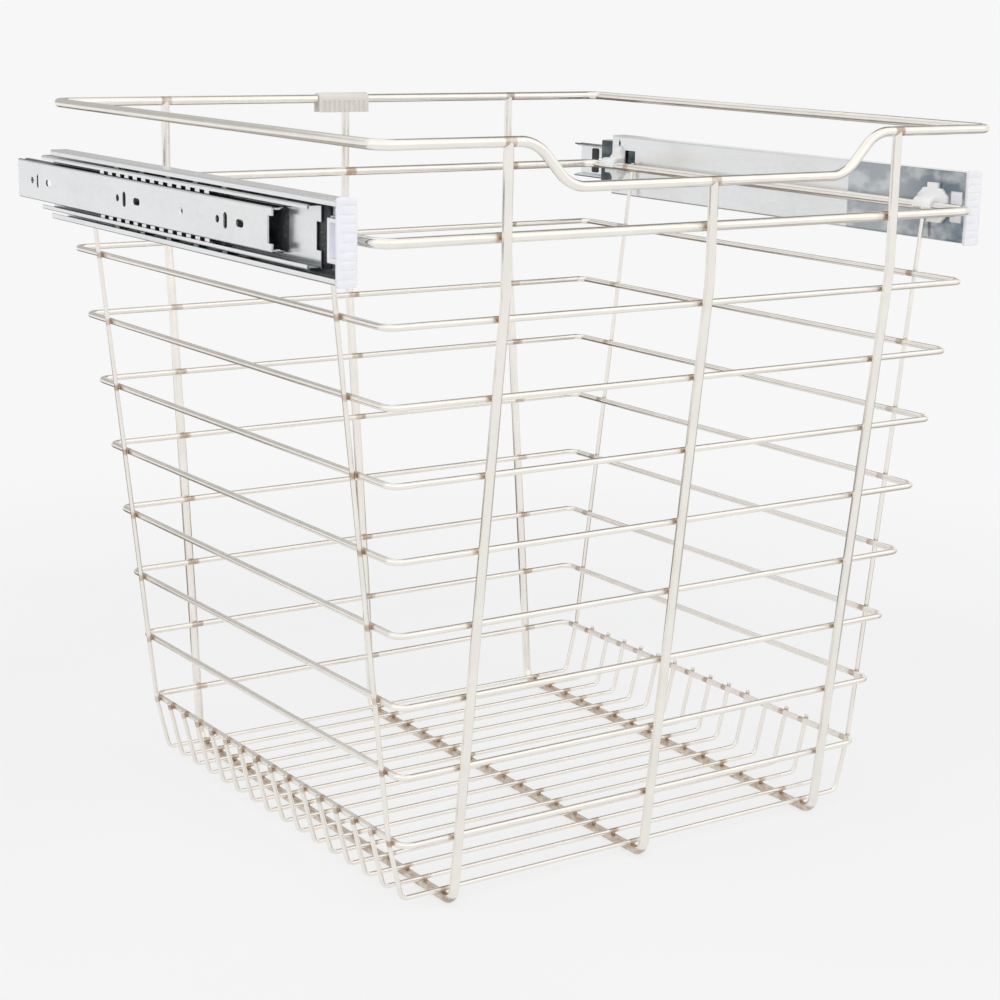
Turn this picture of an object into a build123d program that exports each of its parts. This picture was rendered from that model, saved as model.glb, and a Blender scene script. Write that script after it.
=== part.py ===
"""Pull-out wire basket: a welded wire basket that hangs between two ball-bearing slides.

X runs to the right, Y to the back and Z up. Lengths are in millimetres. Y is measured from the
basket's middle while the pieces are made, and export_part moves the whole to its origin, the
middle of its footprint on the surface that it stands on.
"""
import os
from math import atan, cos, pi, radians, sin, tan

from build123d import *

# Wire
BAR_D = 6.0                      # rim, hanger ring and frame bars
RING_D = 4.0                     # side rings
CROSS_D = 3.0                    # floor wires
WELD_GAP = 0.2                   # between wires that are welded where they cross
HEAVY_FLATS = 8                  # a wire's section has this many flats, a wire's diameter across
THIN_FLATS = 6
BEND_LENGTHS = 3                 # short straight lengths that make up each bend

# Basket
RING_COUNT = 8
RING_PITCH = 45.0
LOWEST_RING_HEIGHT = 45.0
LOWEST_RING_HALF_WIDTH = 179.4
LOWEST_RING_HALF_DEPTH = 166.4
TAPER = 0.1156                   # how far the side leans out for each mm up
RIM_HEIGHT = 457.0
RIM_HALF_WIDTH = 225.6
RIM_HALF_DEPTH = 209.5
RIM_CORNER = 10.0
RING_CORNER = 7.0
DIP_DEPTH = 25.5                 # dip in the rim's front run
DIP_TOP_HALF = 126.0             # half its width at the rim
DIP_BOTTOM_HALF = 102.0          # half its width at the bottom
DIP_BEND = 22.0

# Frame bars and floor wires
BAR_SPACING = 144.0
BAR_FOOT_BEND = 9.0
BAR_KNEE_BEND = 30.0
BAR_END_DROP = 1.2               # from the rim's centre down to the coped end of a bar
COPE_GAP = 0.1
CROSS_COUNT = 16
CROSS_PITCH = 20.85
CROSS_FOOT_HALF = 174.0          # half width between a floor wire's feet, which lean in more than the sides
CROSS_FOOT_BEND = 5.0
CROSS_SIDE_BEND = 10.0           # where a long floor wire turns up beside the lowest ring
CROSS_END_RISE = 3.0             # short floor wires end this far above the lowest ring

# Plastic clip over the rear of the rim
RIM_CLIP_LENGTH = 41.0
RIM_CLIP_OFFSET = -3.5
RIM_CLIP_WALL = 1.3
RIM_CLIP_DROP = 9.5              # skirt's reach below the rim's centre
RIM_CLIP_FIT = 0.1
RIM_CLIP_RIBS = 9
RIM_CLIP_RIB_DEPTH = 0.5

# Slide: three channels, one inside the other
SHEET = 1.2
SLIDE_HEIGHT = 45.5
SLIDE_DEPTH = 12.7
SLIDE_TO_WIRE = 0.7              # from the long floor wires to the wide channel
WIDE_LENGTH = 374.5
MEMBER_LENGTH = 361.0            # middle and panel channels
CHANNEL_CORNER = 2.6
WIDE_LIP = 3.6
MIDDLE_LIP = 2.8
MIDDLE_RECESS = 0.5              # middle channel's lip behind the panel channel's face
PANEL_FLANGE = 7.8
BALL_D = 3.2
BALL_FLATS = 6
BALL_WAIST = 0.9                 # shares of a ball's radius that keep every corner inside it
BALL_HALF_LENGTH = 0.8
BALL_CHAMFER = 0.38
INNER_BALL_COUNT = 13            # in each row of the cage that shows
INNER_BALL_PITCH = 12.15
OUTER_BALL_COUNT = 5
OUTER_BALL_PITCH = 36.45
RACE_GAP = 0.25                  # between a ball and the channel that it runs in
CAGE_SHEET = 0.6
CAGE_GAP = 0.3                   # between a ball cage's back and a channel's web
CAGE_END = 6.0                   # cage beyond the last ball
CAGE_POCKET_GAP = 0.2
CAGE_LIP = 1.3                   # cage beyond the balls' centres, towards the panel
CAGE_TAB = 5.8                   # length of the tab that carries a ball
CAGE_RIM = 1.0                   # height of the cage's edge between its tabs

# Where the slide stands in the photographed pose: each channel's front end, from the middle
WIDE_FRONT = -189.0
MIDDLE_FRONT = -158.5
PANEL_FRONT = -119.5
OUTER_CAGE_MIDDLE = 12.0
INNER_CAGE_MIDDLE = 35.0

# Panel channel's screw holes
HOLE_D = 4.5
HOLE_PITCH = 136.0
HOLE_COUNT = 3
HOLE_FROM_REAR = 24.0
UPRIGHT_SLOT_HEIGHT = 9.5
UPRIGHT_SLOT_AHEAD = 9.8         # ahead of each round hole
LEVEL_SLOT_LENGTH = 9.0
LEVEL_SLOT_AHEAD = 27.6
PILOT_D = 3.0
PILOT_AHEAD = 225.0              # ahead of the rearmost round hole
END_NOTCH = (5.0, 15.5)          # cut from the front end of the middle and panel channels' webs

# Wide channel's cut-outs behind the rear clip
LATCH_WINDOW = (12.0, 10.5)
LATCH_WINDOW_PLACE = (163.2, 6.2)
STOP_SLOT = (2.2, 5.0)
STOP_SLOT_PLACE = (176.5, 17.5)

# End cap on the wide channel
CAP_LENGTH = 2.6
CAP_OVERHANG = 1.3               # beyond the channel above and below
CAP_RECESS = 0.4                 # behind the channel's faces, towards the panel and the basket
CAP_EDGE = 2.0
CAP_GROOVES = 9
CAP_GROOVE_DEPTH = 0.7
CAP_GROOVE_WIDTH = 1.6
TONGUE_LENGTH = 14.0
TONGUE_HEIGHT = 24.0
TONGUE_DEPTH = 8.0
TONGUE_WALL = 2.2
TONGUE_FIT = 0.15
FOOT_BORDER = 2.0                # between the tongue's edges and its foot in the web's window
FOOT_RECESS = 0.2

# Clips that hold the hanger ring to the wide channel
FRONT_CLIP_LENGTH = 26.0
FRONT_CLIP_PAST_WIRE = 6.0       # from the long floor wire to the front clip's middle
REAR_CLIP_LENGTH = 15.0
REAR_CLIP_PAST_WIRE = 21.4
CLIP_WALL = 2.6
CLIP_FIT = 0.1
CLIP_HOOK_LENGTH = 15.0          # stretch that wraps the ring
CLIP_PLATE = 2.4
CLIP_PLATE_HEIGHT = 22.0
CLIP_CORNER = 5.0
CLIP_MOUTH = 4.0
CLIP_TAB_LENGTH = 9.0
CLIP_TAB_RISE = 3.5
CLIP_LUG = (8.0, 4.0)
CLIP_LUG_RISE = 7.5
CLIP_LUG_FIT = 0.15
CLIP_SEAT = 0.05
CLIP_WIRE_FIT = 0.5              # round the long floor wire's end in the front clip

# Sizes that follow from those above
BAR_R, RING_R, CROSS_R = BAR_D / 2, RING_D / 2, CROSS_D / 2
LEAN = atan(TAPER)
HIGHEST_RING = LOWEST_RING_HEIGHT + (RING_COUNT - 1) * RING_PITCH
HANGER_HEIGHT = HIGHEST_RING + RING_PITCH
DIP_HEIGHT = RIM_HEIGHT - DIP_DEPTH
FLOOR_WIRE_HEIGHT = BAR_D + CROSS_R + WELD_GAP


def beside(radius_a, radius_b):
    """Level distance between two leaning wires' centres where they are welded."""
    return (radius_a + radius_b + WELD_GAP) / cos(LEAN)


def half_width(height):
    """Half width of the tapering sides at a height, to the rings' centres."""
    return LOWEST_RING_HALF_WIDTH + TAPER * (height - LOWEST_RING_HEIGHT)


def half_depth(height):
    """Half depth of the tapering sides at a height, to the rings' centres."""
    return LOWEST_RING_HALF_DEPTH + TAPER * (height - LOWEST_RING_HEIGHT)


def cross_reach(height):
    """Distance of a floor wire's rising end from the middle, at a height."""
    return half_width(height) + beside(RING_R, CROSS_R)


def bar_reach(height):
    """Distance of a frame bar's leaning leg from the middle, at a height."""
    return half_depth(height) + beside(RING_R, BAR_R)


KNEE_HEIGHT = LOWEST_RING_HEIGHT + (RIM_HALF_DEPTH - bar_reach(LOWEST_RING_HEIGHT)) / TAPER
HANGER_HALF_WIDTH = cross_reach(HANGER_HEIGHT) - beside(BAR_R, CROSS_R)
HANGER_HALF_DEPTH = RIM_HALF_DEPTH - BAR_D - WELD_GAP
CROSS_SPAN = (CROSS_COUNT - 1) * CROSS_PITCH
SLANT = (cross_reach(LOWEST_RING_HEIGHT) - CROSS_FOOT_HALF) / (LOWEST_RING_HEIGHT - FLOOR_WIRE_HEIGHT)
HALF_FLAT = RING_R * tan(pi / THIN_FLATS)     # half the height of a ring's outer flat
CROSS_SIDE = LOWEST_RING_HALF_WIDTH + (RING_R + CROSS_R + WELD_GAP) / cos(atan(SLANT)) + SLANT * HALF_FLAT

WEB_FACE = cross_reach(HANGER_HEIGHT) + CROSS_R + SLIDE_TO_WIRE
SLIDE_Z = HANGER_HEIGHT
WIDE_HALF = SLIDE_HEIGHT / 2
BALL_R = BALL_D / 2
OUTER_BALL_Z = WIDE_HALF - SHEET - RACE_GAP - BALL_R
MIDDLE_HALF = OUTER_BALL_Z - BALL_R - RACE_GAP
INNER_BALL_Z = MIDDLE_HALF - SHEET - RACE_GAP - BALL_R
PANEL_HALF = INNER_BALL_Z - BALL_R - RACE_GAP
MIDDLE_WEB = SHEET + CAGE_SHEET + 2 * CAGE_GAP
MIDDLE_FACE = SLIDE_DEPTH - MIDDLE_RECESS
OUTER_BALL_U = SLIDE_DEPTH - SHEET - RACE_GAP - BALL_R
INNER_BALL_U = MIDDLE_FACE - SHEET - RACE_GAP - BALL_R
FRONT_CLIP_Y = -CROSS_SPAN / 2 - FRONT_CLIP_PAST_WIRE
REAR_CLIP_Y = CROSS_SPAN / 2 + REAR_CLIP_PAST_WIRE
FRONT_END = -RIM_HALF_DEPTH - BAR_R
REAR_END = PANEL_FRONT + MEMBER_LENGTH
ORIGIN_Y = (FRONT_END + REAR_END) / 2


def section(diameter, gap=0):
    """A wire's section, or that of a hole a gap larger, with flats where others are welded."""
    flats = THIN_FLATS if diameter < BAR_D else HEAVY_FLATS
    return RegularPolygon(diameter / 2 + gap, flats, major_radius=False, rotation=180 / flats)


def bend(before, corner, after, radius):
    """Points along a bend, which lie on its arc."""
    back, on = (before - corner).normalized(), (after - corner).normalized()
    turn = pi - radians(back.get_angle(on))
    centre = corner + (back + on).normalized() * (radius / cos(turn / 2))
    reach = radius * tan(turn / 2)
    start, end = corner + back * reach - centre, corner + on * reach - centre
    angles = [turn * step / BEND_LENGTHS for step in range(BEND_LENGTHS + 1)]
    return [centre + (start * sin(turn - a) + end * sin(a)) * (1 / sin(turn)) for a in angles]


def wire(points, radii, diameter, closed=False):
    """A wire of a diameter through points, with a bend of its own radius at each corner."""
    corners = [Vector(*point) for point in points]
    if closed:
        corners = [(corners[-1] + corners[0]) * 0.5] + corners
        after = corners[2:] + corners[:1]
    else:
        after = corners[2:]
    places = [corners[0]]
    for before, corner, next_one, radius in zip(corners, corners[1:], after, radii):
        places += bend(before, corner, next_one, radius)
    if not closed:
        places.append(corners[-1])
    path = Polyline(*places, close=closed)
    inwards = path.center() - places[0]
    start = Plane(origin=places[0], x_dir=inwards, z_dir=path % 0)
    return sweep(start * section(diameter), path=path, transition=Transition.RIGHT)


def spread(count, pitch):
    """Evenly pitched places about zero."""
    return [(index - (count - 1) / 2) * pitch for index in range(count)]


def level_ring(half_x, half_y, height, diameter, corner):
    """A closed level loop of wire with rounded corners."""
    corners = [(-half_x, -half_y), (half_x, -half_y), (half_x, half_y), (-half_x, half_y)]
    return wire([(x, y, height) for x, y in corners], [corner] * 4, diameter, closed=True)


def rim_wire():
    """The rim, whose front run dips between two gentle double bends."""
    front, back = -RIM_HALF_DEPTH, RIM_HALF_DEPTH
    points = [
        (-RIM_HALF_WIDTH, back, RIM_HEIGHT),
        (-RIM_HALF_WIDTH, front, RIM_HEIGHT),
        (-DIP_TOP_HALF, front, RIM_HEIGHT),
        (-DIP_BOTTOM_HALF, front, DIP_HEIGHT),
        (DIP_BOTTOM_HALF, front, DIP_HEIGHT),
        (DIP_TOP_HALF, front, RIM_HEIGHT),
        (RIM_HALF_WIDTH, front, RIM_HEIGHT),
        (RIM_HALF_WIDTH, back, RIM_HEIGHT),
    ]
    bends = [RIM_CORNER] * 2 + [DIP_BEND] * 4 + [RIM_CORNER] * 2
    return wire(points, bends, BAR_D, closed=True)


def hanger_ring():
    """The heavy loop that hangs in the slides' clips."""
    return level_ring(HANGER_HALF_WIDTH, HANGER_HALF_DEPTH, HANGER_HEIGHT, BAR_D, RIM_CORNER)


def ring_wire(index):
    """One of the tapering side rings, counted from the top."""
    height = HIGHEST_RING - index * RING_PITCH
    return level_ring(half_width(height), half_depth(height), height, RING_D, RING_CORNER)


def frame_bar(x):
    """A U bar: up from its feet outside the rings, with ends coped to fit under the rim."""
    front_rim = DIP_HEIGHT if abs(x) < DIP_BOTTOM_HALF else RIM_HEIGHT
    foot = bar_reach(BAR_R)
    points = [
        (x, -RIM_HALF_DEPTH, front_rim - BAR_END_DROP),
        (x, -RIM_HALF_DEPTH, KNEE_HEIGHT),
        (x, -foot, BAR_R),
        (x, foot, BAR_R),
        (x, RIM_HALF_DEPTH, KNEE_HEIGHT),
        (x, RIM_HALF_DEPTH, RIM_HEIGHT - BAR_END_DROP),
    ]
    bends = [BAR_KNEE_BEND, BAR_FOOT_BEND, BAR_FOOT_BEND, BAR_KNEE_BEND]
    bar = wire(points, bends, BAR_D)
    cope = extrude(Plane.YZ * section(BAR_D, COPE_GAP), amount=BAR_D, both=True)
    for y, height in ((-RIM_HALF_DEPTH, front_rim), (RIM_HALF_DEPTH, RIM_HEIGHT)):
        bar -= Pos(x, y, height) * cope
    return bar


def cross_wire(index):
    """A floor wire: across the frame bars and up outside the lowest ring at both ends."""
    is_long = index in (0, CROSS_COUNT - 1)
    top = HANGER_HEIGHT + BAR_R if is_long else LOWEST_RING_HEIGHT + CROSS_END_RISE
    y = spread(CROSS_COUNT, CROSS_PITCH)[index]
    side = CROSS_SIDE + SLANT * CROSS_END_RISE
    points = [(side, y, top), (CROSS_FOOT_HALF, y, FLOOR_WIRE_HEIGHT)]
    bends = [CROSS_FOOT_BEND]
    if is_long:
        points = [(cross_reach(top), y, top), (CROSS_SIDE, y, LOWEST_RING_HEIGHT)] + points[1:]
        bends = [CROSS_SIDE_BEND] + bends
    left = [(-x, y, z) for x, y, z in points]
    return wire(left + points[::-1], bends + bends[::-1], CROSS_D)


def rim_clip():
    """A ribbed cover snapped over the rear of the rim, whose skirts straddle the middle bar."""
    bore = BAR_R + RIM_CLIP_FIT
    outside = bore + RIM_CLIP_WALL
    cover = Circle(outside) + Pos(0, -RIM_CLIP_DROP / 2) * Rectangle(2 * outside, RIM_CLIP_DROP)
    opening = Pos(0, -RIM_CLIP_DROP) * Rectangle(2 * bore, 2 * RIM_CLIP_DROP)
    profile = cover - section(BAR_D, RIM_CLIP_FIT) - opening
    body = extrude(Plane.YZ * profile, amount=RIM_CLIP_LENGTH / 2, both=True)
    rib_pitch = RIM_CLIP_LENGTH / (RIM_CLIP_RIBS + 1)
    groove = Box(rib_pitch / 2, RIM_CLIP_RIB_DEPTH, RIM_CLIP_DROP - 2 * RIM_CLIP_WALL)
    for x in spread(RIM_CLIP_RIBS, rib_pitch):
        body -= Pos(x, -outside + RIM_CLIP_RIB_DEPTH / 2, -RIM_CLIP_DROP / 2) * groove
    return Pos(RIM_CLIP_OFFSET, RIM_HALF_DEPTH, RIM_HEIGHT) * body


def channel(u_web, u_face, half_height, lip, front, length):
    """A rolled channel with rounded races and inturned lips, for the right slide.

    u is the distance from the wide channel's web face towards the panel.
    """
    depth = u_face - u_web
    outside = RectangleRounded(depth, 2 * half_height, CHANNEL_CORNER)
    inside = RectangleRounded(depth - 2 * SHEET, 2 * (half_height - SHEET), CHANNEL_CORNER - SHEET)
    mouth = Pos(depth / 2) * Rectangle(2 * SHEET + CHANNEL_CORNER, 2 * (half_height - lip))
    profile = Pos(WEB_FACE + (u_web + u_face) / 2, SLIDE_Z) * (outside - inside - mouth)
    return extrude(Plane.XZ.offset(-front) * profile, amount=-length)


def web_hole(y, z, u_web, sketch):
    """A cutter through a channel's web, from a sketch drawn with Y across and Z up."""
    start = WEB_FACE + u_web - SHEET
    return extrude(Plane.YZ.offset(start) * Pos(y, SLIDE_Z + z) * sketch, amount=3 * SHEET)


def end_notch(front, u_web):
    """A cutter for the notch in the front end of a channel's web."""
    length, height = END_NOTCH
    return web_hole(front, 0, u_web, Rectangle(2 * length, height))


def wide_member():
    """The wide channel that carries the basket, with windows for the clips and the end cap."""
    body = channel(0, SLIDE_DEPTH, WIDE_HALF, WIDE_LIP, WIDE_FRONT, WIDE_LENGTH)
    lug = Rectangle(*[size + 2 * CLIP_LUG_FIT for size in CLIP_LUG])
    for y in (FRONT_CLIP_Y, REAR_CLIP_Y):
        body -= web_hole(y, CLIP_LUG_RISE, 0, lug)
    foot_length, foot_height = foot_size()
    foot = Rectangle(foot_length + 2 * TONGUE_FIT, foot_height + 2 * TONGUE_FIT)
    body -= web_hole(WIDE_FRONT + TONGUE_LENGTH / 2, 0, 0, foot)
    body -= web_hole(*LATCH_WINDOW_PLACE, 0, Rectangle(*LATCH_WINDOW))
    y, z = STOP_SLOT_PLACE
    for side in (-1, 1):
        body -= web_hole(y, side * z, 0, Rectangle(*STOP_SLOT))
    return body


def middle_member():
    """The middle channel."""
    body = channel(MIDDLE_WEB, MIDDLE_FACE, MIDDLE_HALF, MIDDLE_LIP, MIDDLE_FRONT, MEMBER_LENGTH)
    return body - end_notch(MIDDLE_FRONT, MIDDLE_WEB)


def panel_member():
    """The narrow channel that is screwed to the cabinet, its web outwards."""
    reach = 2 * PANEL_FLANGE
    outside = RectangleRounded(reach, 2 * PANEL_HALF, CHANNEL_CORNER)
    inside = RectangleRounded(reach - 2 * SHEET, 2 * (PANEL_HALF - SHEET), CHANNEL_CORNER - SHEET)
    open_side = Pos(-PANEL_FLANGE) * Rectangle(reach, 3 * PANEL_HALF)
    profile = Pos(WEB_FACE + SLIDE_DEPTH - PANEL_FLANGE, SLIDE_Z) * (outside - inside - open_side)
    body = extrude(Plane.XZ.offset(-PANEL_FRONT) * profile, amount=-MEMBER_LENGTH)
    web = SLIDE_DEPTH - SHEET
    rearmost = REAR_END - HOLE_FROM_REAR
    level = SlotOverall(LEVEL_SLOT_LENGTH, HOLE_D)
    upright = SlotOverall(UPRIGHT_SLOT_HEIGHT, HOLE_D, rotation=90)
    for index in range(HOLE_COUNT):
        y = rearmost - index * HOLE_PITCH
        body -= web_hole(y, 0, web, Circle(HOLE_D / 2))
        body -= web_hole(y - UPRIGHT_SLOT_AHEAD, 0, web, upright)
        body -= web_hole(y - LEVEL_SLOT_AHEAD, 0, web, level)
    body -= web_hole(rearmost - PILOT_AHEAD, 0, web, Circle(PILOT_D / 2))
    return body - end_notch(PANEL_FRONT, web)


def ball_cage(u_back, ball_u, ball_z, row, middle):
    """A sheet cage whose two edges rise to a forked tab at each ball."""
    length = row[-1] - row[0] + 2 * CAGE_END
    depth = ball_u + CAGE_LIP - u_back
    half = ball_z + CAGE_SHEET / 2
    outside = Rectangle(depth, 2 * half)
    inside = Pos(CAGE_SHEET) * Rectangle(depth, 2 * (half - CAGE_SHEET))
    profile = Pos(WEB_FACE + u_back + depth / 2, SLIDE_Z) * (outside - inside)
    cage = extrude(Plane.XZ.offset(length / 2 - middle) * profile, amount=-length)
    pocket = BALL_D + 2 * CAGE_POCKET_GAP
    fork = Box(2 * pocket, pocket, 2 * half + CAGE_SHEET)
    fork_u = WEB_FACE + ball_u + pocket / 2
    cage -= [Pos(fork_u, middle + y, SLIDE_Z) * fork for y in row]
    pitch = row[1] - row[0]
    window = Box(2 * depth, pitch - CAGE_TAB, 2 * half + CAGE_SHEET)
    window_u = WEB_FACE + u_back + CAGE_SHEET + CAGE_RIM + depth
    cage -= [Pos(window_u, middle + y + pitch / 2, SLIDE_Z) * window for y in row[:-1]]
    return cage


def balls(ball_u, ball_z, row, middle):
    """Two rows of balls, one above and one below, each ball in a few flats."""
    outline = Plane.YZ * RegularPolygon(BALL_R * BALL_WAIST, BALL_FLATS)
    ball = extrude(outline, amount=BALL_R * BALL_HALF_LENGTH, both=True)
    ends = ball.faces().filter_by(Axis.X)
    ball = chamfer([edge for end in ends for edge in end.edges()], BALL_R * BALL_CHAMFER)
    places = [(middle + y, side * ball_z) for side in (-1, 1) for y in row]
    return [Pos(WEB_FACE + ball_u, y, SLIDE_Z + z) * ball for y, z in places]


def foot_size():
    """Length and height of the end cap's foot, which fills a window in the wide channel's web."""
    return TONGUE_LENGTH - 2 * FOOT_BORDER, TONGUE_HEIGHT - 2 * FOOT_BORDER


def end_cap():
    """The grooved plastic plate over the wide channel's front end, with its stop tongue."""
    thickness = SLIDE_DEPTH - 2 * CAP_RECESS
    height = SLIDE_HEIGHT + 2 * CAP_OVERHANG
    plate = Box(thickness, CAP_LENGTH, height)
    plate = fillet(plate.edges().filter_by(Axis.Y), CAP_EDGE)
    pitch = (height - 2 * CAP_EDGE) / CAP_GROOVES
    groove = Box(thickness - 2 * CAP_EDGE, 2 * CAP_GROOVE_DEPTH, CAP_GROOVE_WIDTH)
    plate -= [Pos(0, -CAP_LENGTH / 2, z) * groove for z in spread(CAP_GROOVES, pitch)]
    plate = Pos(WEB_FACE + SLIDE_DEPTH / 2, WIDE_FRONT - CAP_LENGTH / 2, SLIDE_Z) * plate
    tongue = Box(TONGUE_DEPTH, TONGUE_LENGTH, TONGUE_HEIGHT)
    tray = Box(TONGUE_DEPTH, TONGUE_LENGTH - TONGUE_WALL, TONGUE_HEIGHT - 2 * TONGUE_WALL)
    tongue -= Pos(TONGUE_WALL, -TONGUE_WALL / 2, 0) * tray
    back = SHEET + TONGUE_FIT
    foot = Pos(-TONGUE_DEPTH / 2 - (back - FOOT_RECESS) / 2) * Box(back - FOOT_RECESS, *foot_size())
    middle_y = WIDE_FRONT + TONGUE_LENGTH / 2
    return plate + Pos(WEB_FACE + back + TONGUE_DEPTH / 2, middle_y, SLIDE_Z) * (tongue + foot)


def clip_extrusion(y, length, profile):
    """A clip's profile, drawn from the hanger ring's centre, given its length along the ring."""
    base = Plane.XZ.offset(-y) * Pos(HANGER_HALF_WIDTH, HANGER_HEIGHT)
    return extrude(base * profile, amount=length / 2, both=True)


def hanger_clip(y, length):
    """A clip on the right slide's web that wraps the hanger ring."""
    outside = BAR_R + CLIP_FIT + CLIP_WALL
    plate_face = WEB_FACE - CLIP_SEAT
    reach = plate_face - HANGER_HALF_WIDTH
    outline = chamfer(Rectangle(length, CLIP_PLATE_HEIGHT).vertices(), CLIP_CORNER)
    tab_height = CLIP_PLATE_HEIGHT / 2 + CLIP_TAB_RISE
    outline += Pos(0, tab_height / 2) * Rectangle(CLIP_TAB_LENGTH, tab_height)
    base = Plane.YZ.offset(plate_face - CLIP_PLATE) * Pos(y, HANGER_HEIGHT)
    body = extrude(base * outline, amount=CLIP_PLATE)
    sleeve = Circle(outside) + Pos(reach / 2) * Rectangle(reach, 2 * outside)
    body += clip_extrusion(y, min(length, CLIP_HOOK_LENGTH), sleeve)
    mouth = Pos(-outside / 2, -outside) * Rectangle(outside, CLIP_MOUTH + outside)
    body -= clip_extrusion(y, 2 * length, section(BAR_D, CLIP_FIT) + mouth)
    lug_depth = SHEET + CLIP_SEAT
    return body + Pos(plate_face, y, HANGER_HEIGHT + CLIP_LUG_RISE) * Box(2 * lug_depth, *CLIP_LUG)


def front_clip():
    """The front clip, slotted from below for the end of the long floor wire."""
    body = hanger_clip(FRONT_CLIP_Y, FRONT_CLIP_LENGTH)
    width = 2 * (CROSS_R + CLIP_WIRE_FIT)
    top = HANGER_HEIGHT + BAR_R + CLIP_WIRE_FIT
    slot_height = top - HANGER_HEIGHT + CLIP_PLATE_HEIGHT
    start = cross_reach(HANGER_HEIGHT - CLIP_PLATE_HEIGHT / 2) - width / 2
    cutter = Box(2 * (WEB_FACE - start), width, slot_height)
    return body - Pos(WEB_FACE, -CROSS_SPAN / 2, top - slot_height / 2) * cutter


def slide_parts():
    """The right slide's pieces, by name."""
    inner_row = spread(INNER_BALL_COUNT, INNER_BALL_PITCH)
    outer_row = spread(OUTER_BALL_COUNT, OUTER_BALL_PITCH)
    inner_back = MIDDLE_WEB + SHEET + CAGE_GAP
    return {
        "wide_member": wide_member(),
        "end_cap": end_cap(),
        "front_clip": front_clip(),
        "rear_clip": hanger_clip(REAR_CLIP_Y, REAR_CLIP_LENGTH),
        "outer_retainer": ball_cage(
            SHEET + CAGE_GAP, OUTER_BALL_U, OUTER_BALL_Z, outer_row, OUTER_CAGE_MIDDLE
        ),
        "outer_balls": balls(OUTER_BALL_U, OUTER_BALL_Z, outer_row, OUTER_CAGE_MIDDLE),
        "middle_member": middle_member(),
        "inner_retainer": ball_cage(
            inner_back, INNER_BALL_U, INNER_BALL_Z, inner_row, INNER_CAGE_MIDDLE
        ),
        "inner_balls": balls(INNER_BALL_U, INNER_BALL_Z, inner_row, INNER_CAGE_MIDDLE),
        "panel_member": panel_member(),
    }


def export_part(shape, name):
    """Write a piece, or a group of like pieces, in the part's own frame."""
    pieces = shape if isinstance(shape, list) else shape.solids()
    placed = [Pos(0, -ORIGIN_Y, 0) * piece for piece in pieces]
    whole = placed[0] if len(placed) == 1 else Compound(children=placed)
    export_step(whole, f"parts/{name}.step")


def main():
    """Make every piece and write it."""
    os.makedirs("parts", exist_ok=True)
    export_part(rim_wire(), "rim_wire")
    export_part(hanger_ring(), "hanger_ring")
    for index in range(RING_COUNT):
        export_part(ring_wire(index), f"ring_wire_{index + 1}")
    for name, x in (("left", -BAR_SPACING), ("centre", 0), ("right", BAR_SPACING)):
        export_part(frame_bar(x), f"frame_bar_{name}")
    for index in range(CROSS_COUNT):
        export_part(cross_wire(index), f"cross_wire_{index + 1}")
    export_part(rim_clip(), "rim_clip")
    for name, shape in slide_parts().items():
        pieces = shape if isinstance(shape, list) else shape.solids()
        export_part(list(pieces), f"right_{name}")
        export_part([mirror(piece, about=Plane.YZ) for piece in pieces], f"left_{name}")
    print(f"slide web at {WEB_FACE:.2f}, knee at {KNEE_HEIGHT:.1f}, origin {ORIGIN_Y:.2f} behind the middle")


if __name__ == "__main__":
    main()
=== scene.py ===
"""Looks for a pull-out wire basket that hangs between two ball-bearing slides.

X runs to the right, Y to the back and Z up, in metres. Slide pieces are modelled for the right
slide, where depth is counted from the wide channel's web towards the cabinet, and are then
mirrored.
"""

from math import atan, cos, pi, radians, sin, tan

import bpy
from mathutils import Matrix, Vector


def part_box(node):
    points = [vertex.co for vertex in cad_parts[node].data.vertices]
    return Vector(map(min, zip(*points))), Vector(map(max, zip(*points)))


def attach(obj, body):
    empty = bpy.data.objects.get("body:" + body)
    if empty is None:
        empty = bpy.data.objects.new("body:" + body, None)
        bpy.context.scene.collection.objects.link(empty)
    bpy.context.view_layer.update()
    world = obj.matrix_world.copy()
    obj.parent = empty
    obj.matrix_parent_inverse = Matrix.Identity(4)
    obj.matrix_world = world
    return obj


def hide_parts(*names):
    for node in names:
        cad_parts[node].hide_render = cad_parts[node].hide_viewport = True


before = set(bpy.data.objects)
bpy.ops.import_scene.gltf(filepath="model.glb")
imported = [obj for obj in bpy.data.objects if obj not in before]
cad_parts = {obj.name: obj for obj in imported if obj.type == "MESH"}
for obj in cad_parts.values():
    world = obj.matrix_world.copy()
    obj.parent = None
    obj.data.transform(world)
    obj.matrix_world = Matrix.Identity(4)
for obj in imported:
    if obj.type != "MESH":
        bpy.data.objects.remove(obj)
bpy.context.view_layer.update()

bl_info = {
    "name": "Pull-out wire basket",
    "version": (1, 0, 0),
    "blender": (4, 5, 0),
    "location": "3D View > Sidebar > Basket",
    "description": "Models a wire basket, its slides and the stage that it is shown on",
    "category": "Object",
}

MM = 0.001
RING_COUNT = 8
ROD_COUNT = 16
HEAVY_RADIUS = 3 * MM
ROD_RADIUS = 1.5 * MM
SIDES = ("left", "right")

# Wide channel's windows: each size is a length and a height
FOOT_WINDOW = (10.3 * MM, 20.3 * MM)
LUG_WINDOW = (8.3 * MM, 4.3 * MM)
LUG_RISE = 7.5 * MM
LATCH_WINDOW = (13 * MM, 11.5 * MM)
LATCH_PLACE = (163.2 * MM, 6.2 * MM)
STOP_SLOT = (2.2 * MM, 5 * MM)
STOP_SLOT_PLACE = (176.5 * MM, 17.5 * MM)
PAINTED_DARK_LENGTH = 108 * MM           # stretch of the web, from its front end, with a painted dark reflection
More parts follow.
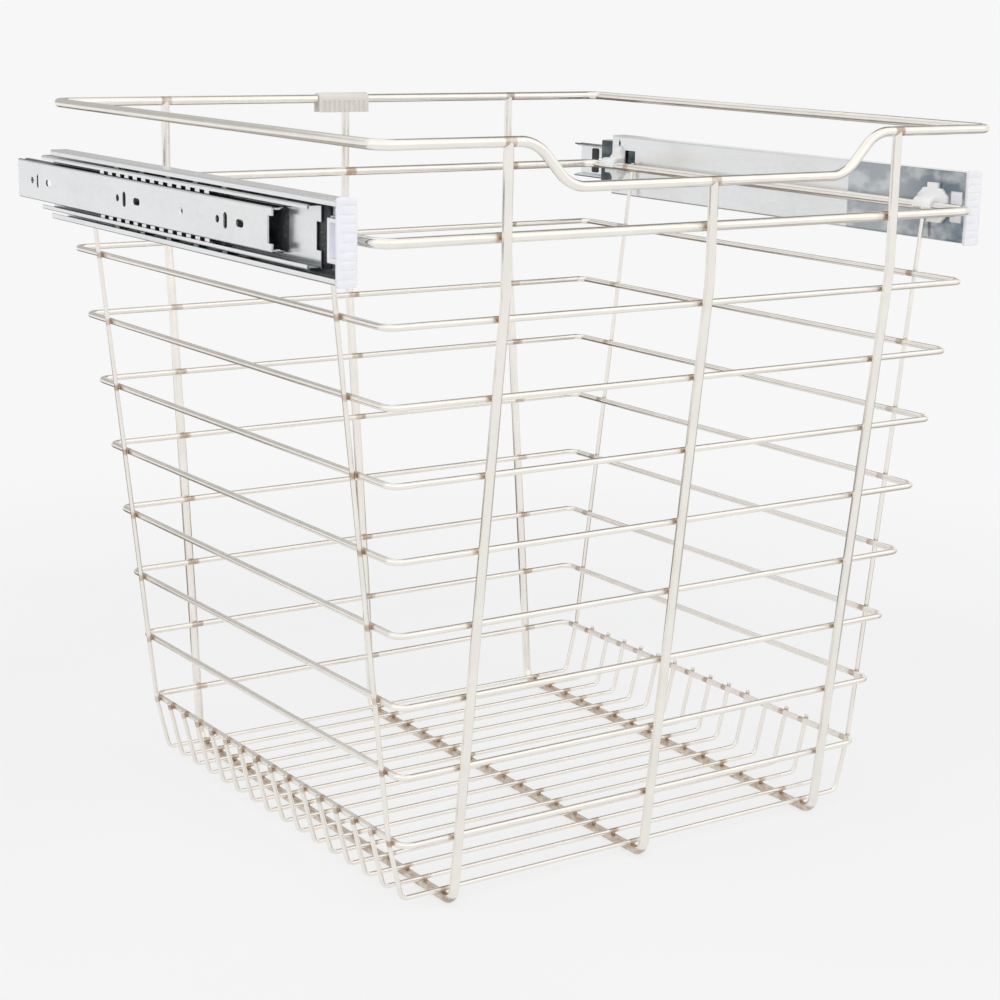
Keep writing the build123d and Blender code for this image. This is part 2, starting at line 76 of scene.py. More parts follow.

# Panel channel's holes
HOLE_COUNT = 3
UPRIGHT_AHEAD = 9.8 * MM         # ahead of each round hole
UPRIGHT_RUN = 2.5 * MM           # from an upright slot's middle to the middle of its round end
LEVEL_AHEAD = 27.6 * MM
LEVEL_RUN = 2.25 * MM
PILOT_AHEAD = 225 * MM           # ahead of the rearmost round hole
PILOT_RADIUS = 1.5 * MM
PUNCH_LENGTH = 6 * MM
CHANNEL_EASE = 0.16 * MM         # rounding of the channels' edges

# End plate, and the tongue behind it on the web
PLATE_RECESS = 0.4 * MM
PLATE_CORNER = 2 * MM
GROOVE_AHEAD = 0.95 * MM         # from the plate's face to the middle of its grooves
TONGUE_SEAT = 1.35 * MM
TONGUE_LENGTH = 14 * MM
TONGUE_DEPTH = 8 * MM
TONGUE_HALF = 12 * MM
TONGUE_WALL = 2.2 * MM
TRAY_HALF = 9.8 * MM
FOOT_HALF = 10 * MM
LEDGE_DEPTH = 0.9 * MM
LEDGE_LENGTH = 8.5 * MM

# Hanger clips
CLIP_LENGTHS = (("front", 26 * MM), ("rear", 15 * MM))
CLIP_SEAT = 0.05 * MM            # between a clip's plate and the web
ROD_CLEAR = 0.5 * MM             # round the long rod's end in the front clip
LUG_HALF = 4 * MM
LUG_HEIGHTS = (5.5 * MM, 9.5 * MM)


def centre(node):
    """Middle of a CAD node's box."""
    low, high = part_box(node)
    return (low + high) / 2


def reach(node, radius):
    """Half the width and half the depth of a CAD wire's loop, to the wire's own middle."""
    low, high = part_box(node)
    return (high.x - low.x) / 2 - radius, (high.y - low.y) / 2 - radius


MIDDLE_Y = centre("rim_wire").y
RIM_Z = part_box("rim_wire")[1].z - HEAVY_RADIUS
HANGER_Z = centre("hanger_ring").z
TOP_LOOP_Z = centre("ring_wire_1").z
LOW_LOOP_Z = centre(f"ring_wire_{RING_COUNT}").z
LOOP_PITCH = (TOP_LOOP_Z - LOW_LOOP_Z) / (RING_COUNT - 1)
ROD_PITCH = (centre(f"cross_wire_{ROD_COUNT}").y - centre("cross_wire_1").y) / (ROD_COUNT - 1)
ROD_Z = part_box("cross_wire_2")[0].z + ROD_RADIUS
BAR_X = centre("frame_bar_right").x
WEB_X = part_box("right_wide_member")[0].x
SLIDE_Z = centre("right_wide_member").z


def length_of(name, text, default, **more):
    """A length property, in metres."""
    return bpy.props.FloatProperty(
        name=name, description=text, default=default, min=0.0, unit="LENGTH",
        subtype="DISTANCE", precision=5, **more
    )


def colour_of(name, text, default):
    """A colour property."""
    return bpy.props.FloatVectorProperty(
        name=name, description=text, default=default, min=0.0, max=1.0, size=3, subtype="COLOR"
    )


class WireSizes(bpy.types.PropertyGroup):
    """Sizes of the basket's wires."""

    heavy: length_of("Heavy wire", "Diameter of the rim, hanging loop and uprights", 0.006)
    loop: length_of("Side loop", "Diameter of the side loops", 0.004)
    rod: length_of("Floor rod", "Diameter of the floor rods", 0.003)
    corner: length_of("Corner", "Bend radius at the corners of the rim and the hanging loop", 0.010)
    loop_corner: length_of("Loop corner", "Bend radius at the side loops' corners", 0.007)
    dip_depth: length_of("Dip depth", "Depth of the dip in the front of the rim", 0.0255)
    dip_top: length_of("Dip top", "Half width of the dip at the rim", 0.126)
    dip_bottom: length_of("Dip bottom", "Half width of the dip at its bottom", 0.102)
    dip_bend: length_of("Dip bend", "Bend radius in the dip", 0.022)
    bar_foot: length_of("Bar foot", "Bend radius at an upright's foot", 0.009)
    bar_knee: length_of("Bar knee", "Bend radius where an upright turns up to the rim", 0.030)
    rod_half: length_of("Rod half width", "From the middle to a floor rod's foot", 0.174)
    rod_foot: length_of("Rod foot", "Bend radius at a floor rod's foot", 0.005)
    rod_side: length_of("Rod side", "Bend radius of a long rod beside the lowest loop", 0.010)
    rod_rise: length_of("Rod rise", "How far a rod's end stands above the lowest loop", 0.003)
    weld_gap: length_of("Weld gap", "Gap that a weld bridges", 0.0002)
    weld_size: length_of("Weld size", "Half width of a weld", 0.0015)
    clip_wall: length_of("Rim clip wall", "Wall of the clip on the rim", 0.0013)
    clip_ribs: bpy.props.IntProperty(
        name="Rim clip grooves", description="Grooves across the rim clip", default=9, min=1
    )


class SlideSizes(bpy.types.PropertyGroup):
    """Sizes of the ball-bearing slides."""

    sheet: length_of("Sheet", "Thickness of the channels", 0.0012)
    corner: length_of("Channel corner", "Outside radius of the channels' corners", 0.0014)
    groove: length_of(
        "Race groove", "Depth of the groove that the panel channel's balls run in", 0.0008
    )
    wide_lip: length_of("Wide lip", "Height of the wide channel's lips", 0.0036)
    middle_lip: length_of("Middle lip", "Height of the middle channel's lips", 0.0028)
    ball: length_of("Ball", "Diameter of the bearing balls", 0.0032)
    race_gap: length_of("Race gap", "Gap between a ball and its channel", 0.00025)
    inner_pitch: length_of("Inner pitch", "Pitch of the balls that show", 0.01215)
    inner_count: bpy.props.IntProperty(
        name="Inner balls", description="Balls in each row that shows", default=13, min=2
    )
    outer_pitch: length_of("Outer pitch", "Pitch of the balls behind the middle channel", 0.03645)
    outer_count: bpy.props.IntProperty(
        name="Outer balls", description="Balls in each hidden row", default=5, min=2
    )
    cage_sheet: length_of("Cage sheet", "Thickness of a ball cage", 0.0006)
    cage_tab: length_of("Cage tab", "Length of the tab round a ball", 0.0058)
    cage_lip: length_of("Cage lip", "Reach of a tab beyond the balls' middles", 0.0013)
    hole: length_of("Screw hole", "Diameter of a screw hole and width of a slot", 0.0045)
    hole_pitch: length_of("Hole pitch", "From one screw hole to the next", 0.136)
    hole_from_rear: length_of("Hole from rear", "From the rear end to the first hole", 0.024)
    notch: length_of("Notch height", "Height of the notch in a channel's front end", 0.0155)
    notch_depth: length_of("Notch depth", "Depth of that notch", 0.005)


class ClipSizes(bpy.types.PropertyGroup):
    """Sizes of the plastic clips and end plates."""

    wall: length_of("Clip wall", "Wall of a hanger clip round the loop", 0.0026)
    fit: length_of("Clip fit", "Gap between clip and loop", 0.0001)
    plate: length_of("Plate", "Thickness of a clip's plate", 0.0024)
    plate_height: length_of("Plate height", "Height of a clip's plate", 0.022)
    plate_corner: length_of("Plate corner", "Chamfer of a clip's plate", 0.005)
    hook_length: length_of("Hook length", "How much of the loop a clip wraps", 0.015)
    tab_width: length_of("Tab width", "Width of the tab on a clip's plate", 0.009)
    tab_rise: length_of("Tab rise", "Height of that tab above the plate", 0.0035)
    end_plate: length_of("End plate", "Thickness of the plate on a channel's end", 0.0026)
    groove: length_of("Groove", "Radius of a groove in the end plate", 0.00125)
    groove_count: bpy.props.IntProperty(
        name="Grooves", description="Grooves across an end plate", default=9, min=1
    )


class Finishes(bpy.types.PropertyGroup):
    """Colours of the finishes."""

    nickel: colour_of("Nickel", "Satin nickel on the wire", (0.92, 0.885, 0.835))
    heat: colour_of("Heat tint", "Brown tint beside a weld", (0.36, 0.225, 0.12))
    zinc: colour_of("Zinc", "Bright zinc on the channels", (0.815, 0.83, 0.84))
    # Painted shade on the ball cages, whose own zinc is bright
    cage: colour_of("Cage", "Greased zinc on the ball cages", (0.20, 0.26, 0.28))
    # Painted shade: the near-black colour given to the shaded insides of the channels
    grease: colour_of("Grease", "Dark grease inside the channels", (0.035, 0.055, 0.065))
    ball: colour_of("Ball", "Polished bearing steel", (0.90, 0.90, 0.91))
    # Painted shade on the balls of the hidden rows, which keeps glints out of the dark gap
    greased_ball: colour_of(
        "Greased ball", "Greased bearing steel of the hidden rows", (0.22, 0.25, 0.26)
    )
    nylon: colour_of("Nylon", "White moulded nylon", (0.93, 0.935, 0.945))
    ivory: colour_of("Ivory", "Warm ivory moulding on the rim", (0.78, 0.745, 0.69))
    violet: colour_of("End plate", "Pale violet moulding", (0.89, 0.89, 0.97))
    backdrop: colour_of("Backdrop", "Floor and background", (0.93, 0.93, 0.93))


def wire_sizes():
    """The wires' sizes."""
    return bpy.context.scene.basket_wires


def slide_sizes():
    """The slides' sizes."""
    return bpy.context.scene.basket_slides


def clip_sizes():
    """The clips' and end plates' sizes."""
    return bpy.context.scene.basket_clips


def deselect():
    """Leave nothing selected, in object mode."""
    if bpy.context.mode != "OBJECT":
        bpy.ops.object.mode_set(mode="OBJECT")
    bpy.ops.object.select_all(action="DESELECT")


def activate(piece):
    """Select one piece alone."""
    deselect()
    piece.select_set(True)
    bpy.context.view_layer.objects.active = piece


def apply_place(piece):
    """Put a piece's place into its mesh."""
    activate(piece)
    bpy.ops.object.transform_apply(location=True, rotation=True, scale=True)
    return piece


def edit(piece, kind="VERT"):
    """Enter edit mode with everything selected."""
    activate(piece)
    bpy.ops.object.mode_set(mode="EDIT")
    bpy.ops.mesh.select_mode(type=kind)
    bpy.ops.mesh.select_all(action="SELECT")


def pick(piece, test, kind="VERT"):
    """In edit mode, select only the corners, edges or faces that pass a test."""
    bpy.ops.mesh.select_mode(type=kind)
    bpy.ops.mesh.select_all(action="DESELECT")
    bpy.ops.object.mode_set(mode="OBJECT")
    mesh = piece.data
    if kind == "VERT":
        for corner in mesh.vertices:
            corner.select = test(corner.co)
    elif kind == "EDGE":
        for line in mesh.edges:
            ends = [mesh.vertices[i].co for i in line.vertices]
            line.select = test(ends[0], ends[1])
    else:
        for face in mesh.polygons:
            face.select = test(face.center, face.normal)
    bpy.ops.object.mode_set(mode="EDIT")


def tidy(piece):
    """Merge doubles and turn the faces outwards, then leave edit mode."""
    edit(piece)
    bpy.ops.mesh.remove_doubles(threshold=1e-6)
    bpy.ops.mesh.normals_make_consistent(inside=False)
    bpy.ops.object.mode_set(mode="OBJECT")


def modify(piece, kind, **settings):
    """Add a modifier and apply it."""
    activate(piece)
    bpy.ops.object.modifier_add(type=kind)
    modifier = piece.modifiers[-1]
    for name, value in settings.items():
        setattr(modifier, name, value)
    bpy.ops.object.modifier_apply(modifier=modifier.name)
    return piece


def repeat(piece, count, step):
    """Repeat a piece in a row, each one a step from the last."""
    return modify(
        piece, "ARRAY", count=count, use_relative_offset=False, use_constant_offset=True,
        constant_offset_displace=step,
    )


def combine(piece, other, operation="DIFFERENCE"):
    """Cut another piece from this one, or unite them, and remove the other."""
    modify(piece, "BOOLEAN", operation=operation, solver="EXACT", object=other)
    bpy.data.objects.remove(other, do_unlink=True)
    return piece


def soften(piece, width, segments=2, angle=40):
    """Round the sharp edges by a little and shade the rest smoothly."""
    modify(
        piece, "BEVEL", width=width, segments=segments, limit_method="ANGLE",
        angle_limit=radians(angle), use_clamp_overlap=True, harden_normals=False,
    )
    smooth(piece)
    return piece


def smooth(piece, angle=35):
    """Shade smoothly where faces meet at less than an angle."""
    activate(piece)
    bpy.ops.object.shade_smooth_by_angle(angle=radians(angle))
    return piece


def block(low, high):
    """A block between two corners."""
    low, high = Vector(low), Vector(high)
    deselect()
    bpy.ops.mesh.primitive_cube_add(size=1, location=(low + high) / 2, scale=high - low)
    return apply_place(bpy.context.object)


def slab(near, far, start, end, half):
    """A block between two depths and two places along, centred on a slide's middle height."""
    return block((near, start, SLIDE_Z - half), (far, end, SLIDE_Z + half))


def bevel_edges(piece, test, width, segments):
    """Bevel the edges that pass a test."""
    edit(piece)
    pick(piece, test, "EDGE")
    bpy.ops.mesh.bevel(offset=width, segments=segments, affect="EDGES")
    bpy.ops.object.mode_set(mode="OBJECT")


def drum(middle, radius, length, axis, sides=32):
    """A round bar about a middle, along an axis."""
    turn = {"X": (0, pi / 2, 0), "Y": (pi / 2, 0, 0), "Z": (0, 0, 0)}[axis]
    deselect()
    bpy.ops.mesh.primitive_cylinder_add(
        vertices=sides, radius=radius, depth=length, location=middle, rotation=turn
    )
    return apply_place(bpy.context.object)


def bent_line(corners, bends, closed, segments=8):
    """A line of edges through corners, each bent to its own radius."""
    corners = [Vector(corner) for corner in corners]
    deselect()
    bpy.ops.mesh.primitive_plane_add(size=MM, location=corners[0])
    line = apply_place(bpy.context.object)
    edit(line)
    bpy.ops.mesh.merge(type="CENTER")
    for before, corner in zip(corners, corners[1:]):
        bpy.ops.mesh.extrude_region_move(TRANSFORM_OT_translate={"value": corner - before})
    if closed:
        pick(line, lambda co: min((co - end).length for end in (corners[0], corners[-1])) < 1e-5)
        bpy.ops.mesh.edge_face_add()
    count = len(corners)
    for index in range(count):
        if not closed and index in (0, count - 1):
            continue
        corner = corners[index]
        back = corner - corners[index - 1]
        onward = corners[(index + 1) % count] - corner
        turn = back.angle(onward)
        radius = bends[index if closed else index - 1]
        pick(line, lambda co: (co - corner).length < 1e-5)
        bpy.ops.mesh.bevel(
            offset=radius * tan(turn / 2), segments=segments, affect="VERTICES", profile=0.5
        )
    bpy.ops.object.mode_set(mode="OBJECT")
    return line


def bent_wire(name, corners, bends, diameter, closed=False):
    """A round wire along a bent line."""
    wire = bent_line(corners, bends, closed)
    activate(wire)
    bpy.ops.object.convert(target="CURVE")
    wire = bpy.context.object
    wire.data.bevel_depth = diameter / 2
    wire.data.bevel_resolution = 4 if diameter < 5 * MM else 6
    wire.data.use_fill_caps = not closed
    bpy.ops.object.convert(target="MESH")
    wire = bpy.context.object
    tidy(wire)
    wire.name = name
    return smooth(wire, 50)


def bent_sheet(corners, bends, thickness, along):
    """A sheet of a thickness whose edge follows a bent line, drawn out along a direction."""
    sheet = bent_line(corners, bends, False, 6)
    edit(sheet)
    bpy.ops.mesh.extrude_region_move(TRANSFORM_OT_translate={"value": along})
    bpy.ops.object.mode_set(mode="OBJECT")
    tidy(sheet)
    return modify(sheet, "SOLIDIFY", thickness=thickness, offset=0, use_even_offset=True)


def mirrored(piece, name):
    """A copy of a piece on the other side of the middle, with its own mesh."""
    activate(piece)
    bpy.ops.object.duplicate(linked=False)
    copy = bpy.context.object
    copy.scale = (-1, 1, 1)
    apply_place(copy)
    edit(copy)
    bpy.ops.mesh.normals_make_consistent(inside=False)
    bpy.ops.object.mode_set(mode="OBJECT")
    copy.name = name
    return copy


def install(piece, body, slot, material, *nodes):
    """Fix a piece to its body in place of its CAD nodes, and give it its finish."""
    piece.data.materials.clear()
    piece.data.materials.append(material)
    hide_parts(*nodes)
    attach(piece, body)


def install_pair(piece, name, part, node, slot, material):
    """Install a right slide's piece and its mirror image on the left slide."""
    piece.name = f"right_{name}"
    pieces = {"right": piece, "left": mirrored(piece, f"left_{name}")}
    for side in SIDES:
        body = "basket" if part == "basket" else f"{side}_{part}"
        if slot == "zinc_steel":
            modify(pieces[side], "WEIGHTED_NORMAL", keep_sharp=True)
        install(pieces[side], body, slot, material, f"{side}_{node}")


class Finish:
    """A material's node tree, with short calls for its nodes."""

    def __init__(self, name):
        self.material = bpy.data.materials.new(name)
        self.material.use_nodes = True
        self.nodes = self.material.node_tree.nodes
        self.links = self.material.node_tree.links
        self.surface = self.nodes["Principled BSDF"]
        self.place = self.nodes.new("ShaderNodeTexCoord").outputs["Object"]

    def add(self, kind, inputs=(), **settings):
        """Add a node, with its settings and with numbers or links on its inputs."""
        node = self.nodes.new(f"ShaderNode{kind}")
        for name, value in settings.items():
            setattr(node, name, value)
        for key, value in dict(inputs).items():
            self.put(node.inputs[key], value)
        return node

    def put(self, socket, value):
        """Set a socket to a number or link it to another node's output."""
        if isinstance(value, bpy.types.NodeSocket):
            self.links.new(value, socket)
        else:
            socket.default_value = value

    def set(self, **values):
        """Set the shader's own sockets, named with underscores."""
        for name, value in values.items():
            self.put(self.surface.inputs[name.replace("_", " ")], value)
        return self

    def calc(self, operation, first, second=0.0):
        """One step of arithmetic on two numbers."""
        return self.add("Math", {0: first, 1: second}, operation=operation).outputs[0]

    def noise(self, scale, detail=3.0, stretch=(1, 1, 1), shift=(0, 0, 0)):
        """Cloudy noise, stretched along an axis."""
        mapping = self.add("Mapping", {"Vector": self.place, "Scale": stretch, "Location": shift})
        node = self.add(
            "TexNoise", {"Vector": mapping.outputs[0], "Scale": scale, "Detail": detail}
        )
        return node.outputs["Fac"]

    def span(self, value, low, high, to_low=0.0, to_high=1.0, kind="SMOOTHSTEP"):
        """Carry a value from one range to another."""
        inputs = {
            "Value": value, "From Min": low, "From Max": high, "To Min": to_low, "To Max": to_high
        }
        return self.add("MapRange", inputs, interpolation_type=kind).outputs[0]

    def blend(self, share, first, second):
        """Mix two colours."""
        node = self.add("Mix", data_type="RGBA")
        for index, value in ((0, share), (6, first), (7, second)):
            plain = isinstance(value, (tuple, list, Vector))
            self.put(node.inputs[index], (*value, 1) if plain else value)
        return node.outputs[2]

    def axis(self, letter):
        """One coordinate of the place."""
        split = self.add("SeparateXYZ", {"Vector": self.place})
        return split.outputs[letter]

    def inside(self, value, low, high):
        """One where a value lies between two others, and nought elsewhere."""
        above = self.calc("GREATER_THAN", value, low)
        return self.calc("MULTIPLY", above, self.calc("LESS_THAN", value, high))

    def slide_zone(self, depth, height):
        """One between two depths and two heights from a slide's middle, and nought elsewhere."""
        across = self.inside(self.calc("ABSOLUTE", self.axis("X")), *depth)
        offset = self.calc("ABSOLUTE", self.calc("SUBTRACT", self.axis("Z"), SLIDE_Z))
        return self.calc("MULTIPLY", across, self.inside(offset, *height))

    def bump(self, height, depth, strength=0.4):
        """Raise the surface by a height pattern."""
        inputs = {"Height": height, "Distance": depth, "Strength": strength}
        self.set(Normal=self.add("Bump", inputs).outputs[0])
        return self


def colour(name):
    """A finish's colour, as a plain tuple."""
    return tuple(getattr(bpy.context.scene.basket_finishes, name))


def nickel(name, bands=()):
    """Satin nickel on wire, browned by heat beside the welds.

    Each band is an axis, the place of one weld on it, the pitch of the others, and how far from a
    weld the tint is full and where it ends.
    """
    finish = Finish(name)
    pale = colour("nickel")
    cloud = finish.noise(60, 3)
    base = finish.blend(finish.span(cloud, 0.3, 0.7), pale, [c * 0.95 for c in pale])
    rough = finish.span(finish.noise(150, 2), 0.3, 0.7, 0.15, 0.21, "LINEAR")
    if bands:
        tint = 0.0
        for axis, place, pitch, narrow, wide in bands:
            offset = finish.calc("SUBTRACT", finish.axis(axis), place)
            distance = finish.calc("PINGPONG", offset, pitch / 2)
            tint = finish.calc("MAXIMUM", tint, finish.span(distance, narrow, wide, 1.0, 0.0))
        patch = finish.span(finish.noise(170, 2), 0.35, 0.65, 0.5, 1.0)
        tint = finish.calc("MULTIPLY", tint, patch)
        base = finish.blend(finish.calc("MULTIPLY", tint, 0.72), base, colour("heat"))
        rough = finish.calc("ADD", rough, finish.calc("MULTIPLY", tint, 0.12))
    finish.set(Base_Color=base, Metallic=1.0, Roughness=rough)
    finish.bump(finish.noise(200, 1), 0.00001, 0.06)
    return finish.material


def zinc(name, shift, greased, painted_dark_from=None):
    """Bright zinc on rolled sheet: fine lines along the slide, mottling and a faint tint.

    Each shade zone is a pair of depths and a pair of heights, where the zinc is darkened almost to
    black: painted shade inside the channel. Ahead of the last argument's place along Y the web is
    blotched and darker: a painted dark reflection.
    """
    finish = Finish(name)
    pale = colour("zinc")
    streak = finish.noise(420, 3, (1, 0.02, 1), (shift, shift, 0))
    mottle = finish.noise(30, 4, (1, 0.4, 1), (0, shift, shift))
    grain = finish.noise(260, 2, (1, 0.6, 1))
    base = finish.blend(finish.span(mottle, 0.45, 0.75, 0.0, 0.6), pale, [c * 0.9 for c in pale])
    base = finish.blend(finish.span(streak, 0.5, 0.8, 0.0, 0.12), base, (0.68, 0.74, 0.79))
    yellow = finish.noise(24, 2, (1, 0.3, 1.6), (shift, 0, 2.3))
    base = finish.blend(finish.span(yellow, 0.56, 0.72, 0.0, 0.3), base, (0.82, 0.80, 0.73))
    base = finish.blend(finish.span(grain, 0.35, 0.65, 0.0, 0.2), base, (0.88, 0.90, 0.92))
    rough = finish.calc(
        "ADD", finish.span(streak, 0.3, 0.7, 0.16, 0.20), finish.span(mottle, 0.4, 0.75, 0.0, 0.06)
    )
    if painted_dark_from is not None:
        # Painted dark reflection: ahead of that place the web is darkened in blotches, deepest
        # towards its front end
        ahead = finish.span(finish.axis("Y"), painted_dark_from - 1 * MM, painted_dark_from + 1 * MM, 1.0, 0.0)
        deeper = finish.span(finish.axis("Y"), painted_dark_from - 95 * MM, painted_dark_from - 40 * MM, 1.0, 0.66)
        blotch = finish.span(finish.noise(95, 5, (1, 0.6, 1), (0, shift, 0)), 0.32, 0.6, 0.5, 1.0)
        depth = finish.calc("ABSOLUTE", finish.axis("X"))
        web = finish.span(depth, WEB_X + 1.2 * MM, WEB_X + 1.6 * MM, 1.0, 0.0)
        ahead = finish.calc("MULTIPLY", ahead, web)
        painted_dark = finish.calc("MULTIPLY", finish.calc("MULTIPLY", ahead, deeper), blotch)
        base = finish.blend(painted_dark, base, (0.17, 0.215, 0.25))
    # Painted shade: the zones inside the channels are darkened almost to black, in patches
    dark = 0.0
    for depth, height in greased:
        dark = finish.calc("MAXIMUM", dark, finish.slide_zone(depth, height))
    patchy_cover = finish.span(finish.noise(160, 3, (1, 0.3, 1)), 0.35, 0.65, 0.86, 0.98)
    base = finish.blend(finish.calc("MULTIPLY", dark, patchy_cover), base, colour("grease"))
    finish.set(Base_Color=base, Metallic=0.85, Roughness=rough)
    finish.bump(streak, 0.00001, 0.05)
    return finish.material


def painted_shade_cage(name, unshaded_from):
    """Thin zinc-plated sheet, darkened by painted shade, and left near-white beyond a depth if one
    is given.
    """
    finish = Finish(name)
    patches = finish.noise(120, 4, (1, 0.4, 1))
    pale = colour("cage")
    base = finish.blend(finish.span(patches, 0.38, 0.66), pale, [c * 0.5 for c in pale])
    if unshaded_from is not None:
        outwards = finish.calc("ABSOLUTE", finish.axis("X"))
        unshaded = finish.calc("GREATER_THAN", outwards, unshaded_from)
        base = finish.blend(unshaded, base, (0.97, 0.97, 0.97))
    finish.set(Base_Color=base, Metallic=0.6, Roughness=finish.span(patches, 0.3, 0.7, 0.26, 0.42))
    finish.bump(finish.noise(1200, 2), 0.00003, 0.2)
    return finish.material


def bearing_steel(name, pale):
    """Polished steel in a given tone, patchy with greasy smears; the hidden rows get a painted
    shade.
    """
    finish = Finish(name)
    patchy_cover = finish.noise(260, 3)
    base = finish.blend(finish.span(patchy_cover, 0.4, 0.7), pale, [c * 0.85 for c in pale])
    finish.set(Base_Color=base, Metallic=1.0, Roughness=finish.span(patchy_cover, 0.3, 0.7, 0.08, 0.16))
    return finish.material


def moulded(name, pale, other, glow):
    """Moulded plastic with a fine grain and a slight change of tone, which lets in some light."""
    finish = Finish(name)
    base = finish.blend(finish.span(finish.noise(70, 3), 0.35, 0.7), pale, other)
    finish.set(Base_Color=base, Roughness=finish.span(finish.noise(600, 2), 0.3, 0.7, 0.32, 0.44))
    finish.set(Subsurface_Weight=glow, Subsurface_Scale=0.6)
    finish.set(Subsurface_Radius=(0.003, 0.003, 0.0032))
    finish.bump(finish.noise(1100, 2), 0.00002, 0.2)
    return finish.material


def weld_metal():
    """A weld's nugget, browned and rough."""
    finish = Finish("browned_weld")
    tone = finish.noise(500, 3)
    base = finish.blend(finish.span(tone, 0.35, 0.65), colour("heat"), (0.52, 0.42, 0.32))
    finish.set(Base_Color=base, Metallic=1.0, Roughness=finish.span(tone, 0.3, 0.7, 0.28, 0.42))
    finish.bump(finish.noise(1500, 2), 0.00005, 0.4)
    return finish.material


def beside(first, second):
    """Level distance between two leaning wires' middles where they are welded."""
    sizes = wire_sizes()
    return (first / 2 + second / 2 + sizes.weld_gap) / cos(atan(lean()))


def lean():
    """How far the sides lean out for each metre up."""
    radius = wire_sizes().loop / 2
    low, high = reach(f"ring_wire_{RING_COUNT}", radius), reach("ring_wire_1", radius)
    return (high[0] - low[0]) / (TOP_LOOP_Z - LOW_LOOP_Z)


def side_reach(height):
    """Half width and half depth of the leaning sides at a height, to the loops' middles."""
    low = reach(f"ring_wire_{RING_COUNT}", wire_sizes().loop / 2)
    rise = lean() * (height - LOW_LOOP_Z)
    return low[0] + rise, low[1] + rise


def rod_reach(height):
    """Distance of a rod's rising end from the middle at a height."""
    sizes = wire_sizes()
    return side_reach(height)[0] + beside(sizes.loop, sizes.rod)


def bar_reach(height):
    """Distance of an upright's leaning leg from the middle at a height."""
    sizes = wire_sizes()
    return side_reach(height)[1] + beside(sizes.loop, sizes.heavy)


def weld_bands():
    """Places along a loop that are browned by the welds to the uprights and the long rods."""
    rods = ("Y", centre("cross_wire_1").y, ROD_PITCH * (ROD_COUNT - 1), 1.5 * MM, 4.5 * MM)
    return [("X", 0.0, BAR_X, 3 * MM, 5.5 * MM), rods]


def rod_slope():
    """How far a rod's short leg leans out for each metre up, from its foot to the lowest loop."""
    sizes = wire_sizes()
    return (rod_reach(LOW_LOOP_Z) - sizes.rod_half) / (LOW_LOOP_Z - ROD_Z)


def rod_side():
    """Distance of a rod from the middle beside the lowest loop."""
    sizes = wire_sizes()
    clear = sizes.loop / 2 + sizes.rod / 2 + sizes.weld_gap
    return side_reach(LOW_LOOP_Z)[0] + clear / cos(atan(rod_slope()))


def level_loop(name, node, diameter, height, corner):
    """A closed level loop where a CAD loop stands."""
    half_x, half_y = reach(node, diameter / 2)
    places = [(-1, -1), (1, -1), (1, 1), (-1, 1)]
    corners = [(x * half_x, MIDDLE_Y + y * half_y, height) for x, y in places]
    return bent_wire(name, corners, [corner] * 4, diameter, closed=True)


class MakeRim(bpy.types.Operator):
    """Bend the rim, with the dip in its front run"""

    bl_idname = "basket.rim"
    bl_label = "Rim"

    def execute(self, context):
        sizes = wire_sizes()
        half_x, half_y = reach("rim_wire", sizes.heavy / 2)
        front, back = MIDDLE_Y - half_y, MIDDLE_Y + half_y
        low = RIM_Z - sizes.dip_depth
        corners = [
            (-half_x, back, RIM_Z), (-half_x, front, RIM_Z),
            (-sizes.dip_top, front, RIM_Z), (-sizes.dip_bottom, front, low),
            (sizes.dip_bottom, front, low), (sizes.dip_top, front, RIM_Z),
            (half_x, front, RIM_Z), (half_x, back, RIM_Z),
        ]
        bends = [sizes.corner] * 2 + [sizes.dip_bend] * 4 + [sizes.corner] * 2
        rim = bent_wire("rim", corners, bends, sizes.heavy, closed=True)
        finish = nickel("nickel_rim", [("X", 0.0, BAR_X, 3 * MM, 4.5 * MM)])
        install(rim, "basket", "nickel_wire", finish, "rim_wire")
        return {"FINISHED"}


class MakeHangingLoop(bpy.types.Operator):
    """Bend the heavy loop that hangs in the slides' clips"""

    bl_idname = "basket.hanging_loop"
    bl_label = "Hanging loop"

    def execute(self, context):
        sizes = wire_sizes()
        loop = level_loop("hanging_loop", "hanger_ring", sizes.heavy, HANGER_Z, sizes.corner)
        bands = weld_bands()
        install(loop, "basket", "nickel_wire", nickel("nickel_hanging_loop", bands), "hanger_ring")
        return {"FINISHED"}


class MakeSideLoops(bpy.types.Operator):
    """Bend the side loops, each smaller than the one above"""

    bl_idname = "basket.side_loops"
    bl_label = "Side loops"

    def execute(self, context):
        sizes = wire_sizes()
        finish = nickel("nickel_side_loops", weld_bands())
        rods = ("Y", centre("cross_wire_1").y, ROD_PITCH, 1.5 * MM, 3.5 * MM)
        low_bands = [weld_bands()[0], rods]
        low_finish = nickel("nickel_lowest_loop", low_bands)
        for index in range(1, RING_COUNT + 1):
            node = f"ring_wire_{index}"
            height = centre(node).z
            loop = level_loop(f"side_loop_{index}", node, sizes.loop, height, sizes.loop_corner)
            look = low_finish if index == RING_COUNT else finish
            install(loop, "basket", "nickel_wire", look, node)
        return {"FINISHED"}


